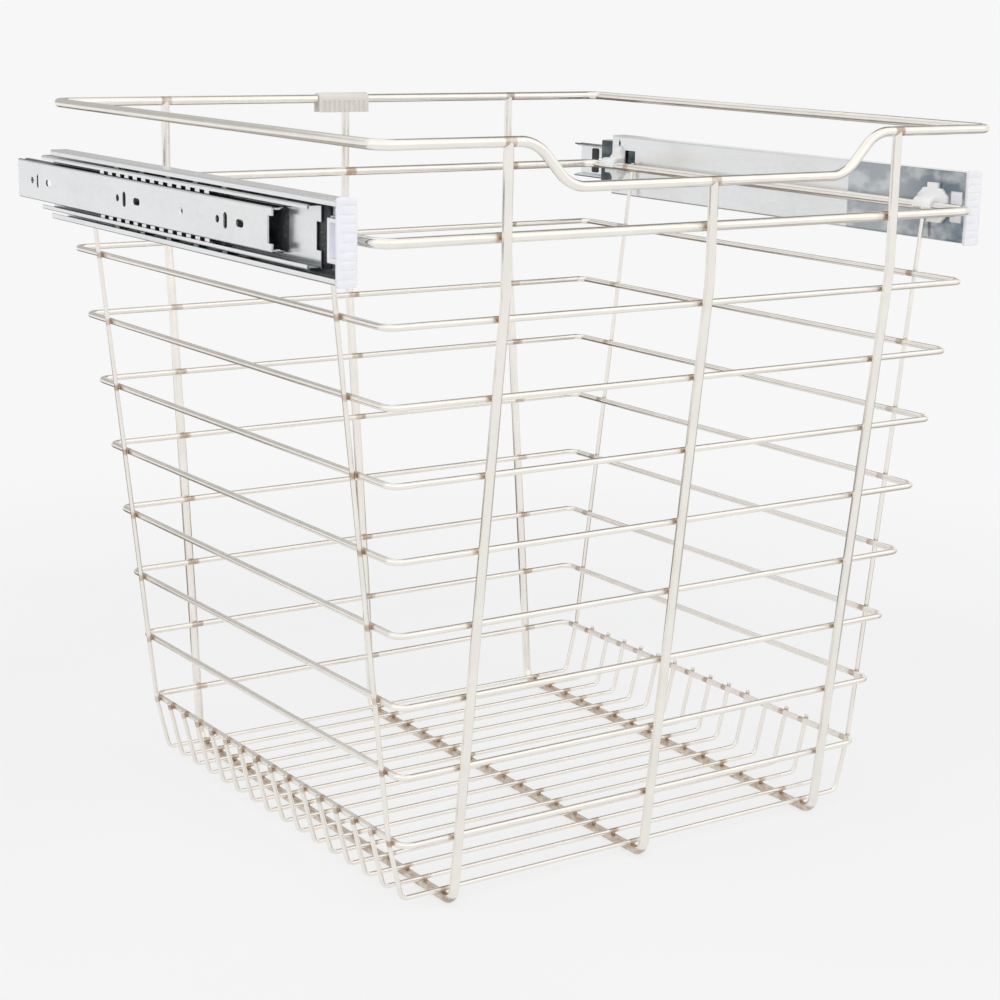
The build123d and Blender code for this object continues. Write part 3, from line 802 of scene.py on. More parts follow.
class MakeUprights(bpy.types.Operator):
    """Bend the upright bars that run down the front, under the floor and up the back"""

    bl_idname = "basket.uprights"
    bl_label = "Uprights"

    def execute(self, context):
        sizes = wire_sizes()
        half_y = reach("rim_wire", sizes.heavy / 2)[1]
        radius = sizes.heavy / 2
        foot = bar_reach(radius)
        knee = LOW_LOOP_Z + (half_y - bar_reach(LOW_LOOP_Z)) / lean()
        bends = [sizes.bar_knee, sizes.bar_foot, sizes.bar_foot, sizes.bar_knee]
        # The band browns the whole run along the floor, not only beside its welds
        finish = nickel("nickel_uprights", [("Z", 0.0, 1.0, 5 * MM, 7 * MM)])
        for name in ("left", "centre", "right"):
            x = centre(f"frame_bar_{name}").x
            top = RIM_Z - (sizes.dip_depth if abs(x) < sizes.dip_bottom else 0)
            places = [(-half_y, top), (-half_y, knee), (-foot, radius), (foot, radius)]
            places += [(half_y, knee), (half_y, RIM_Z)]
            corners = [(x, MIDDLE_Y + y, z) for y, z in places]
            bar = bent_wire(f"upright_{name}", corners, bends, sizes.heavy)
            install(bar, "basket", "nickel_wire", finish, f"frame_bar_{name}")
        return {"FINISHED"}


class MakeFloorRods(bpy.types.Operator):
    """Bend the rods that make the floor and turn up at both sides"""

    bl_idname = "basket.floor_rods"
    bl_label = "Floor rods"

    def execute(self, context):
        sizes = wire_sizes()
        under = ("X", 0.0, BAR_X, 1.5 * MM, 5 * MM)
        short = nickel("nickel_floor_rods", [under, ("Z", LOW_LOOP_Z, 1.0, 1 * MM, 3 * MM)])
        long = nickel("nickel_long_rods", [under, ("Z", LOW_LOOP_Z, LOOP_PITCH, 1 * MM, 3 * MM)])
        foot, side = (sizes.rod_half, ROD_Z), (rod_side(), LOW_LOOP_Z)
        short_end = (side[0] + rod_slope() * sizes.rod_rise, LOW_LOOP_Z + sizes.rod_rise)
        top = HANGER_Z + sizes.heavy / 2
        for index in range(1, ROD_COUNT + 1):
            node = f"cross_wire_{index}"
            is_long = index in (1, ROD_COUNT)
            places = [(rod_reach(top), top), side, foot] if is_long else [short_end, foot]
            bends = [sizes.rod_side, sizes.rod_foot] if is_long else [sizes.rod_foot]
            y = centre(node).y
            corners = [(-x, y, z) for x, z in places] + [(x, y, z) for x, z in reversed(places)]
            rod = bent_wire(f"floor_rod_{index}", corners, bends + bends[::-1], sizes.rod)
            soften(rod, 0.35 * MM, 2, 60)
            install(rod, "basket", "nickel_wire", long if is_long else short, node)
        return {"FINISHED"}


class MakeWelds(bpy.types.Operator):
    """Set a small nugget wherever two wires are welded"""

    bl_idname = "basket.welds"
    bl_label = "Welds"

    def execute(self, context):
        sizes = wire_sizes()
        size, gap = sizes.weld_size, sizes.weld_gap
        heavy, loop, rod = sizes.heavy / 2, sizes.loop / 2, sizes.rod / 2
        groups = []

        def nugget(place, flat, rows):
            """One weld, flattened along an axis, and its rows."""
            radii = [size * (0.6 if index == flat else 1.0) for index in range(3)]
            deselect()
            bpy.ops.mesh.primitive_ico_sphere_add(
                subdivisions=2, radius=1, location=place, scale=radii
            )
            piece = apply_place(bpy.context.object)
            for count, step in rows:
                repeat(piece, count, step)
            groups.append(piece)

        step = LOOP_PITCH * lean()
        half_rows = ROD_PITCH * (ROD_COUNT - 1) / 2
        low_x, low_y = side_reach(LOW_LOOP_Z)
        for sign in (-1, 1):
            y = MIDDLE_Y + sign * (low_y + loop + gap / 2)
            slope = (0, sign * step, LOOP_PITCH)
            nugget((-BAR_X, y, LOW_LOOP_Z), 1, [(RING_COUNT, slope), (3, (BAR_X, 0, 0))])
            hanger_y = MIDDLE_Y + sign * (reach("hanger_ring", heavy)[1] + heavy + gap / 2)
            nugget((-BAR_X, hanger_y, HANGER_Z), 1, [(3, (BAR_X, 0, 0))])
            x = sign * (low_x + loop + gap / 2)
            slope = (sign * step, 0, LOOP_PITCH)
            rows = [(RING_COUNT - 1, slope), (2, (0, 2 * half_rows, 0))]
            nugget((x + slope[0], MIDDLE_Y - half_rows, LOW_LOOP_Z + LOOP_PITCH), 0, rows)
            turn = atan(rod_slope())
            x = sign * (low_x + (loop + gap / 2) * cos(turn))
            z = LOW_LOOP_Z - (loop + gap / 2) * sin(turn)
            nugget((x, MIDDLE_Y - half_rows, z), 0, [(ROD_COUNT, (0, ROD_PITCH, 0))])
            x = sign * (reach("hanger_ring", heavy)[0] + heavy + gap / 2)
            nugget((x, MIDDLE_Y - half_rows, HANGER_Z), 0, [(2, (0, 2 * half_rows, 0))])
        floor = (-BAR_X, MIDDLE_Y - half_rows, ROD_Z - rod - gap / 2)
        nugget(floor, 2, [(ROD_COUNT, (0, ROD_PITCH, 0)), (3, (BAR_X, 0, 0))])
        activate(groups[0])
        for piece in groups:
            piece.select_set(True)
        bpy.ops.object.join()
        welds = bpy.context.object
        welds.name = "weld_nuggets"
        smooth(welds, 60)
        install(welds, "basket", "nickel_wire", weld_metal())
        return {"FINISHED"}


class MakeRimClip(bpy.types.Operator):
    """Form the grooved clip that sits over the back of the rim"""

    bl_idname = "basket.rim_clip"
    bl_label = "Rim clip"

    def execute(self, context):
        sizes = wire_sizes()
        low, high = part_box("rim_clip")
        wall = sizes.clip_wall
        middle_y = (low.y + high.y) / 2
        half = (high.y - low.y) / 2 - wall / 2
        top = high.z - wall / 2
        corners = [
            (low.x, middle_y - half, low.z), (low.x, middle_y - half, top),
            (low.x, middle_y + half, top), (low.x, middle_y + half, low.z),
        ]
        clip = bent_sheet(corners, [half * 0.98] * 2, wall, (high.x - low.x, 0, 0))
        count = sizes.clip_ribs
        pitch = (high.x - low.x) / (count + 1)
        for y in (low.y, high.y):
            groove = drum((low.x + pitch, y, low.z), pitch / 4, 2 * (top - low.z) * 0.62, "Z", 12)
            repeat(groove, count, (pitch, 0, 0))
            combine(clip, groove)
        soften(clip, 0.18 * MM)
        clip.name = "rear_rim_clip"
        ivory = moulded("ivory_moulding", colour("ivory"), [c * 0.95 for c in colour("ivory")], 0.1)
        install(clip, "basket", "clip_plastic", ivory, "rim_clip")
        return {"FINISHED"}


def channel(node, lip):
    """A rolled channel where a CAD channel stands, its mouth towards the cabinet."""
    sizes = slide_sizes()
    low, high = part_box(node)
    half_sheet = sizes.sheet / 2
    top, bottom = high.z - half_sheet, low.z + half_sheet
    web, face = low.x + half_sheet, high.x - half_sheet
    places = [(face, high.z - lip), (face, top), (web, top)]
    places += [(web, bottom), (face, bottom), (face, low.z + lip)]
    corners = [(x, low.y, z) for x, z in places]
    bends = [sizes.corner - half_sheet] * 4
    return bent_sheet(corners, bends, sizes.sheet, (0, high.y - low.y, 0))


def notched(piece, node, web_x):
    """Notch the front end of a channel's web."""
    sizes = slide_sizes()
    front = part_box(node)[0].y
    start, end = front - 2 * MM, front + sizes.notch_depth
    return combine(piece, slab(web_x - 2 * MM, web_x + 2 * MM, start, end, sizes.notch / 2))


class MakeWideChannels(bpy.types.Operator):
    """Roll the wide channels and punch their windows"""

    bl_idname = "basket.wide_channels"
    bl_label = "Wide channels"

    def execute(self, context):
        node = "right_wide_member"
        body = channel(node, slide_sizes().wide_lip)
        low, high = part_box(node)

        def window(y, z, length, height):
            """A window through the web, about a place from the slide's middle height."""
            cutter = block(
                (WEB_X - 2 * MM, y - length / 2, SLIDE_Z + z - height / 2),
                (WEB_X + 3 * MM, y + length / 2, SLIDE_Z + z + height / 2),
            )
            combine(body, cutter)

        window(low.y + TONGUE_LENGTH / 2, 0, *FOOT_WINDOW)
        for clip in ("right_front_clip", "right_rear_clip"):
            window(centre(clip).y, LUG_RISE, *LUG_WINDOW)
        window(MIDDLE_Y + LATCH_PLACE[0], LATCH_PLACE[1], *LATCH_WINDOW)
        for side in (-1, 1):
            window(MIDDLE_Y + STOP_SLOT_PLACE[0], side * STOP_SLOT_PLACE[1], *STOP_SLOT)
        soften(body, CHANNEL_EASE)
        sheet, half = slide_sizes().sheet, (high.z - low.z) / 2
        # Painted shade inside the flanges and lips, where the balls run
        shaded_race = ((low.x + sheet, high.x - 1.3 * sheet), (half - 6 * MM, half - sheet / 2))
        finish = zinc("zinc_wide_channel", 0.4, [shaded_race], low.y + PAINTED_DARK_LENGTH)
        install_pair(body, "wide_channel", "basket", "wide_member", "zinc_steel", finish)
        return {"FINISHED"}


class MakeMiddleChannels(bpy.types.Operator):
    """Roll the middle channels"""

    bl_idname = "basket.middle_channels"
    bl_label = "Middle channels"

    def execute(self, context):
        node = "right_middle_member"
        body = channel(node, slide_sizes().middle_lip)
        notched(body, node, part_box(node)[0].x)
        soften(body, CHANNEL_EASE)
        low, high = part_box(node)
        sheet, half = slide_sizes().sheet, (high.z - low.z) / 2
        # Painted shade inside the flanges and on the back of the web, which faces the wide
        # channel's web
        shaded_race = ((low.x + sheet, high.x - 1.3 * sheet), (half - 6 * MM, half + 1 * MM))
        back = ((low.x - 1 * MM, low.x + sheet / 2), (0.0, half + 1 * MM))
        finish = zinc("zinc_middle_channel", 1.7, [shaded_race, back])
        install_pair(body, "middle_channel", "middle", "middle_member", "zinc_steel", finish)
        return {"FINISHED"}


class MakePanelChannels(bpy.types.Operator):
    """Roll the channels that are screwed to the cabinet, and punch their holes"""

    bl_idname = "basket.panel_channels"
    bl_label = "Panel channels"

    def execute(self, context):
        sizes = slide_sizes()
        node = "right_panel_member"
        low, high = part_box(node)
        half_sheet = sizes.sheet / 2
        web = high.x - half_sheet
        top, bottom = high.z - half_sheet, low.z + half_sheet
        ball_x = ball_place(False)[0]
        inner, outer = ball_x - 1.5 * MM, ball_x + 1.2 * MM
        upper = [(low.x, 0.0), (inner - 0.7 * MM, 0.0), (inner, sizes.groove)]
        upper += [(outer, sizes.groove), (outer + 0.7 * MM, 0.0), (web, 0.0)]
        places = [(x, top - dip) for x, dip in upper]
        places += [(x, bottom + dip) for x, dip in reversed(upper)]
        corners = [(x, low.y, z) for x, z in places]
        easy, tight = 0.5 * MM, sizes.corner - half_sheet
        bends = [easy] * 4 + [tight] * 2 + [easy] * 4
        body = bent_sheet(corners, bends, sizes.sheet, (0, high.y - low.y, 0))
        notched(body, node, high.x)
        radius = sizes.hole / 2
        first = high.y - sizes.hole_from_rear
        round_hole = drum((web, first, SLIDE_Z), radius, PUNCH_LENGTH, "X")
        upright = long_hole((web, first - UPRIGHT_AHEAD, SLIDE_Z), (0, 0, UPRIGHT_RUN), radius)
        level = long_hole((web, first - LEVEL_AHEAD, SLIDE_Z), (0, LEVEL_RUN, 0), radius)
        for cutter in (round_hole, upright, level):
            combine(body, repeat(cutter, HOLE_COUNT, (0, -sizes.hole_pitch, 0)))
        pilot_y = first - PILOT_AHEAD
        combine(body, drum((web, pilot_y, SLIDE_Z), PILOT_RADIUS, PUNCH_LENGTH, "X", 24))
        deselect()
        bpy.ops.mesh.primitive_cone_add(
            vertices=32, radius1=0.9 * MM, radius2=2.6 * MM, depth=1.7 * MM,
            location=(high.x - 0.65 * MM, pilot_y, SLIDE_Z), rotation=(0, pi / 2, 0),
        )
        combine(body, apply_place(bpy.context.object))
        soften(body, CHANNEL_EASE)
        half = (high.z - low.z) / 2
        # Painted shade along the flanges, which darkens their rounded edges into a dark line under
        # the balls
        shaded_race = ((low.x - 1 * MM, high.x - 0.45 * MM), (half - 0.9 * MM, half + 1 * MM))
        finish = zinc("zinc_panel_channel", 2.9, [shaded_race])
        install_pair(body, "panel_channel", "panel", "panel_member", "zinc_steel", finish)
        return {"FINISHED"}


def long_hole(place, half_run, radius):
    """A cutter for a slot with round ends, through a web."""
    cutter = drum(place, radius, PUNCH_LENGTH, "X")
    run = Vector(half_run)
    for sign in (-1, 1):
        edit(cutter)
        pick(cutter, lambda co: (co - Vector(place)).dot(run) * sign > 1e-9)
        bpy.ops.transform.translate(value=run * sign)
    bpy.ops.object.mode_set(mode="OBJECT")
    return cutter


def ball_place(outer):
    """Depth and height of the balls' middles: the hidden rows or the rows that show."""
    sizes = slide_sizes()
    inset = sizes.sheet + sizes.race_gap + sizes.ball / 2
    wide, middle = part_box("right_wide_member"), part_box("right_middle_member")
    high = wide[1] if outer else middle[1]
    return high.x - inset, high.z - SLIDE_Z - inset


def cage(node, outer, count, pitch):
    """A ball cage: a U of thin sheet whose edges rise to a forked tab at each ball."""
    sizes = slide_sizes()
    low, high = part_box(node)
    ball_x, ball_z = ball_place(outer)
    thin = sizes.cage_sheet
    free, back = ball_x + sizes.cage_lip, low.x + thin / 2
    places = [(free, ball_z), (back, ball_z), (back, -ball_z), (free, -ball_z)]
    corners = [(x, low.y, SLIDE_Z + z) for x, z in places]
    body = bent_sheet(corners, [0.8 * MM] * 2, thin, (0, high.y - low.y, 0))
    middle_y = (low.y + high.y) / 2
    first = middle_y - pitch * (count - 1) / 2
    pocket = sizes.ball / 2 + 0.2 * MM
    tall = ball_z + 2 * thin
    pockets = drum((ball_x, first, SLIDE_Z), pocket, 2 * tall, "Z", 24)
    combine(body, repeat(pockets, count, (0, pitch, 0)))
    beyond = ball_x + 4 * MM
    mouths = slab(ball_x, beyond, first - pocket * 0.9, first + pocket * 0.9, tall)
    combine(body, repeat(mouths, count, (0, pitch, 0)))
    half_tab = sizes.cage_tab / 2
    gaps = slab(low.x + thin + 1 * MM, beyond, first + half_tab, first + pitch - half_tab, tall)
    combine(body, repeat(gaps, count - 1, (0, pitch, 0)))
    soften(body, 0.08 * MM, 1)
    faces = []
    for sign in (-1, 1):
        low_z, high_z = sorted((sign * (ball_z - 1.75 * MM), sign * (ball_z + 0.15 * MM)))
        tab = block(
            (free - 0.1 * MM, first - half_tab, SLIDE_Z + low_z),
            (ball_x + 1.8 * MM, first + half_tab, SLIDE_Z + high_z),
        )
        deselect()
        bpy.ops.mesh.primitive_uv_sphere_add(
            segments=24, ring_count=12, radius=sizes.ball / 2 + 0.05 * MM,
            location=(ball_x, first, SLIDE_Z + sign * ball_z),
        )
        combine(tab, bpy.context.object)
        repeat(tab, count, (0, pitch, 0))
        faces.append(tab)
    activate(body)
    for tab in faces:
        tab.select_set(True)
    bpy.ops.object.join()
    return bpy.context.object


def ball_rows():
    """Each kind of ball row: its name, whether it is hidden, its count and its pitch."""
    sizes = slide_sizes()
    return (
        ("inner", False, sizes.inner_count, sizes.inner_pitch),
        ("outer", True, sizes.outer_count, sizes.outer_pitch),
    )


class MakeCages(bpy.types.Operator):
    """Press the four ball cages"""

    bl_idname = "basket.cages"
    bl_label = "Ball cages"

    def execute(self, context):
        # Painted shade darkens the cages; only the outward faces of the inner cages' tabs keep
        # their near-white zinc
        tab_face = ball_place(False)[0] + slide_sizes().ball / 2
        for name, outer, count, pitch in ball_rows():
            unshaded_from = None if outer else tab_face + 0.03 * MM
            finish = painted_shade_cage(f"{name}_cage_sheet", unshaded_from)
            body = cage(f"right_{name}_retainer", outer, count, pitch)
            install_pair(
                body, f"{name}_cage_sheet", f"{name}_cage", f"{name}_retainer", "cage_steel", finish
            )
        return {"FINISHED"}


class MakeBalls(bpy.types.Operator):
    """Set the bearing balls in their rows"""

    bl_idname = "basket.balls"
    bl_label = "Balls"

    def execute(self, context):
        sizes = slide_sizes()
        finishes = {
            "inner": bearing_steel("polished_ball_steel", colour("ball")),
            # The hidden rows are darkened by painted shade
            "outer": bearing_steel("greased_ball_steel", colour("greased_ball")),
        }
        for name, outer, count, pitch in ball_rows():
            ball_x, ball_z = ball_place(outer)
            middle_y = centre(f"right_{name}_balls").y
            first = middle_y - pitch * (count - 1) / 2
            deselect()
            bpy.ops.mesh.primitive_ico_sphere_add(
                subdivisions=3, radius=sizes.ball / 2, location=(ball_x, first, SLIDE_Z - ball_z)
            )
            balls = apply_place(bpy.context.object)
            repeat(balls, count, (0, pitch, 0))
            repeat(balls, 2, (0, 0, 2 * ball_z))
            smooth(balls, 60)
            install_pair(
                balls, f"{name}_bearing_balls", f"{name}_cage", f"{name}_balls", "ball_steel",
                finishes[name],
            )
        return {"FINISHED"}


def black_rubber():
    """Black rubber with specks of dust."""
    finish = Finish("black_rubber")
    dust = finish.span(finish.noise(900, 2), 0.66, 0.72, 0.0, 0.7)
    base = finish.blend(dust, (0.018, 0.022, 0.026), (0.5, 0.53, 0.56))
    finish.set(Base_Color=base, Roughness=finish.span(finish.noise(300, 2), 0.3, 0.7, 0.4, 0.6))
    finish.bump(finish.noise(800, 2), 0.00003, 0.3)
    return finish.material


class MakeStopPads(bpy.types.Operator):
    """Lay the rubber pads that the channels close on"""

    bl_idname = "basket.stop_pads"
    bl_label = "Stop pads"

    def execute(self, context):
        sheet = slide_sizes().sheet
        finish = black_rubber()

        def pad(name, body, seat, start, length, half_height, thickness):
            """A pad on each slide that faces along X from its seat."""
            piece = slab(seat, seat + thickness, start, start + length, half_height)
            bevel_edges(piece, lambda a, b: abs(a.x - b.x) > thickness / 2, 1.5 * MM, 4)
            soften(piece, 0.15 * MM)
            piece.name = f"right_{name}"
            for side, each in (("right", piece), ("left", mirrored(piece, f"left_{name}"))):
                install(each, body if body == "basket" else f"{side}_{body}", "cap_plastic", finish)

        members = [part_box(f"right_{name}_member") for name in ("wide", "middle", "panel")]
        wide, middle, panel = members
        seat, start = wide[0].x + sheet + 0.05 * MM, wide[0].y + 22.8 * MM
        pad("stop_pad", "basket", seat, start, 14 * MM, 17 * MM, 0.9 * MM)
        seat, start = middle[0].x + sheet + 0.05 * MM, middle[0].y + 35.8 * MM
        pad("latch_pad", "middle", seat, start, 22 * MM, 12 * MM, 0.6 * MM)
        seat, start = panel[1].x - sheet - 0.7 * MM, panel[1].y - 23 * MM
        pad("buffer", "panel", seat, start, 8 * MM, 9.5 * MM, 0.65 * MM)
        return {"FINISHED"}


class MakeEndPlates(bpy.types.Operator):
    """Mould the grooved plates over the wide channels' front ends, with their tongues"""

    bl_idname = "basket.end_plates"
    bl_label = "End plates"

    def execute(self, context):
        sizes = clip_sizes()
        low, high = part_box("right_end_cap")
        wide_low, wide_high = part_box("right_wide_member")
        back = low.y + sizes.end_plate
        plate = block(
            (WEB_X + PLATE_RECESS, low.y, low.z), (wide_high.x - PLATE_RECESS, back, high.z)
        )
        bevel_edges(plate, lambda a, b: abs(a.y - b.y) > 1 * MM, PLATE_CORNER, 6)
        count = sizes.groove_count
        pitch = (high.z - low.z - 2 * PLATE_CORNER) / count
        groove = drum(
            ((WEB_X + wide_high.x) / 2, low.y - GROOVE_AHEAD, SLIDE_Z - pitch * (count - 1) / 2),
            sizes.groove, wide_high.x - WEB_X - 3 * MM, "X", 20,
        )
        combine(plate, repeat(groove, count, (0, 0, pitch)))
        seat = WEB_X + TONGUE_SEAT
        floor = seat + TONGUE_WALL
        start, end = wide_low.y, wide_low.y + TONGUE_LENGTH
        tongue = slab(seat, seat + TONGUE_DEPTH, start, end, TONGUE_HALF)
        combine(tongue, slab(floor, seat + 10 * MM, start - 1 * MM, end - TONGUE_WALL, TRAY_HALF))
        foot = slab(WEB_X + 0.2 * MM, seat + 0.5 * MM, start + 2 * MM, end - 2 * MM, FOOT_HALF)
        joint = slab(seat, floor, back - 0.4 * MM, start + 1 * MM, TONGUE_HALF)
        for more in (foot, joint):
            combine(tongue, more, "UNION")
        combine(plate, tongue, "UNION")
        ledge = slab(seat, seat + LEDGE_DEPTH, end - 1 * MM, end + LEDGE_LENGTH, TONGUE_HALF)
        hollow = slab(seat + 0.4 * MM, seat + 2 * MM, end + 1.5 * MM, end + 6.5 * MM, TRAY_HALF)
        combine(ledge, hollow)
        combine(plate, ledge, "UNION")
        soften(plate, 0.2 * MM)
        finish = moulded("pale_violet_moulding", colour("violet"), (0.93, 0.93, 0.97), 0.3)
        install_pair(plate, "end_plate", "basket", "end_cap", "cap_plastic", finish)
        return {"FINISHED"}


def hanger_clip(node, length, is_front):
    """A clip on the right slide's web that wraps the hanging loop."""
    sizes = clip_sizes()
    wires = wire_sizes()
    y = centre(node).y
    loop_x = reach("hanger_ring", wires.heavy / 2)[0]
    outside = wires.heavy / 2 + sizes.fit + sizes.wall
    face = WEB_X - CLIP_SEAT
    half = sizes.plate_height / 2
    plate = block(
        (face - sizes.plate, y - length / 2, HANGER_Z - half),
        (face, y + length / 2, HANGER_Z + half),
    )
    bevel_edges(plate, lambda a, b: abs(a.x - b.x) > 1 * MM, sizes.plate_corner, 1)
    tab = block(
        (face - sizes.plate, y - sizes.tab_width / 2, HANGER_Z),
        (face, y + sizes.tab_width / 2, HANGER_Z + half + sizes.tab_rise),
    )
    combine(plate, tab, "UNION")
    hook = min(length, sizes.hook_length)
    combine(plate, drum((loop_x, y, HANGER_Z), outside, hook, "Y", 48), "UNION")
    bridge = block(
        (loop_x, y - hook / 2, HANGER_Z - outside),
        (face - 0.2 * MM, y + hook / 2, HANGER_Z + outside),
    )
    combine(plate, bridge, "UNION")
    seat = wires.heavy / 2 + sizes.fit
    combine(plate, drum((loop_x, y, HANGER_Z), seat, 2 * length, "Y", 48))
    mouth_top = HANGER_Z - outside / 2 + 2 * MM
    mouth = block(
        (loop_x - 2 * outside, y - length, HANGER_Z - 3 * outside), (loop_x, y + length, mouth_top)
    )
    combine(plate, mouth)
    if is_front:
        rod_y = centre("cross_wire_1").y
        half_slot = wires.rod / 2 + ROD_CLEAR
        start = rod_reach(HANGER_Z - half) - half_slot
        top = HANGER_Z + wires.heavy / 2 + ROD_CLEAR
        slot = block(
            (start, rod_y - half_slot, HANGER_Z - 2 * half),
            (WEB_X + 1 * MM, rod_y + half_slot, top),
        )
        combine(plate, slot)
    lug = block(
        (face - 0.5 * MM, y - LUG_HALF, HANGER_Z + LUG_HEIGHTS[0]),
        (WEB_X + 1.2 * MM, y + LUG_HALF, HANGER_Z + LUG_HEIGHTS[1]),
    )
    combine(plate, lug, "UNION")
    return soften(plate, 0.35 * MM)


class MakeHangerClips(bpy.types.Operator):
    """Mould the clips that hold the basket's loop to the wide channels"""

    bl_idname = "basket.hanger_clips"
    bl_label = "Hanger clips"

    def execute(self, context):
        finish = moulded("white_moulded_nylon", colour("nylon"), (0.92, 0.915, 0.90), 0.0)
        for name, length in CLIP_LENGTHS:
            clip = hanger_clip(f"right_{name}_clip", length, name == "front")
            install_pair(
                clip, f"{name}_hanger_clip", "basket", f"{name}_clip", "clip_plastic", finish
            )
        return {"FINISHED"}


# Stage
TARGET = (0, 0, 0.25)
LAMP_BACK = (0.41, 0.40, 0.375)
SOFTBOXES = (                    # name, place, width, height, power, tone
    ("left_softbox", (-1.75, -0.65, 1.45), 3.8, 2.2, 20, (1.0, 0.985, 0.96)),
    ("front_softbox", (0.6, -1.85, 1.5), 3.8, 2.2, 21, (1, 1, 1)),
    ("top_softbox", (-0.2, -0.1, 2.0), 2.8, 2.8, 17, (1, 1, 1)),
)
STANDING_CARDS = (               # name, place, target, width, height, shade
    ("right_high_card", (1.22, 0.71, 1.66), TARGET, 1.4, 1.4, (0.30, 0.28, 0.26)),
    ("rear_card", (0.1, 2.2, 1.2), (0, 0, 1.2), 3.4, 1.4, (0.58, 0.57, 0.56)),
)
FLOOR_CARDS = (                  # name, near corner, far corner, shade
    ("rear_floor_card", (-0.3, 0.36), (1.0, 1.7), (0.24, 0.20, 0.17)),
    ("left_floor_card", (-1.1, 0.36), (-0.3, 0.9), (0.44, 0.40, 0.36)),
    ("right_floor_card", (0.36, -0.45), (1.6, 0.36), (0.55, 0.52, 0.49)),
)
ROOM_LIGHT = (0.95, 0.97, 1.0, 1)
ROOM_STRENGTH = 0.36
FLOOR_SIZE = 400
CAMERA_PLACE = (-0.81435, -1.19593, 0.53687)
CAMERA_RIGHT = Vector((0.826035, -0.563285, 0.019421))
CAMERA_DOWN = Vector((-0.11328, -0.19967, -0.97329))
CAMERA_FORWARD = Vector((0.552119, 0.801774, -0.228742))
CAMERA_LENS = 78.31


def backdrop_finish():
    """A pale floor that keeps the shadow and stays even to the horizon."""
    finish = Finish("pale_floor")
    pale = colour("backdrop")
    distance = finish.add("VectorMath", {0: finish.place}, operation="LENGTH").outputs["Value"]
    cloud = finish.span(finish.noise(3, 2), 0.3, 0.7)
    cloud = finish.calc("MULTIPLY", cloud, finish.span(distance, 0.5, 1.2, 1.0, 0.0))
    tone = finish.blend(cloud, pale, [c * 0.985 for c in pale])
    finish.set(Base_Color=tone, Roughness=0.9)
    glow = finish.add("Emission", {"Color": tone, "Strength": 1.0})
    path = finish.add("LightPath")
    seen = finish.calc("MAXIMUM", path.outputs["Is Camera Ray"], path.outputs["Is Glossy Ray"])
    seen = finish.calc("MAXIMUM", seen, path.outputs["Is Transmission Ray"])
    share = finish.calc("MULTIPLY", seen, finish.span(distance, 0.35, 1.1, 0.78, 1.0))
    mix = finish.add("MixShader", {0: share, 1: finish.surface.outputs[0], 2: glow.outputs[0]})
    finish.links.new(mix.outputs[0], finish.nodes["Material Output"].inputs["Surface"])
    return finish.material


def softbox(name, place, width, height, power, tone):
    """A flat soft lamp that faces the basket.

    The card at its back keeps the bright room out of the lamp's reflection.
    """
    deselect()
    bpy.ops.object.light_add(type="AREA", location=place)
    lamp = bpy.context.object
    lamp.name = name
    lamp.data.shape = "RECTANGLE"
    lamp.data.size, lamp.data.size_y = width, height
    lamp.data.energy = power
    lamp.data.color = tone
    aim = Vector(TARGET) - Vector(place)
    lamp.rotation_euler = aim.to_track_quat("-Z", "Y").to_euler()
    behind = Vector(place) - aim.normalized() * 20 * MM
    dark_card(name + "_back", behind, TARGET, width, height, LAMP_BACK)


def card_finish(card, shade):
    """Give a card its tone, and let it show only in the metal's reflections."""
    finish = Finish(card.name)
    tone = finish.blend(finish.span(finish.noise(2, 2), 0.3, 0.7), shade, [c * 0.85 for c in shade])
    glow = finish.add("Emission", {"Color": tone, "Strength": 1.0})
    finish.links.new(glow.outputs[0], finish.nodes["Material Output"].inputs["Surface"])
    card.data.materials.append(finish.material)
    card.visible_camera = card.visible_diffuse = card.visible_shadow = False
    card.visible_transmission = False
    return card


def dark_card(name, place, target, width, height, shade):
    """A standing card that faces a target."""
    deselect()
    bpy.ops.mesh.primitive_plane_add(size=1, location=place)
    card = bpy.context.object
    card.name = name
    card.scale = (width, height, 1)
    aim = Vector(target) - Vector(place)
    card.rotation_euler = aim.to_track_quat("Z", "Y").to_euler()
    return card_finish(card, shade)


def floor_card(name, near, far, shade):
    """A card that lies on the floor between two corners."""
    deselect()
    place = ((near[0] + far[0]) / 2, (near[1] + far[1]) / 2, 1 * MM)
    bpy.ops.mesh.primitive_plane_add(size=1, location=place)
    card = bpy.context.object
    card.name = name
    card.scale = (far[0] - near[0], far[1] - near[1], 1)
    return card_finish(card, shade)


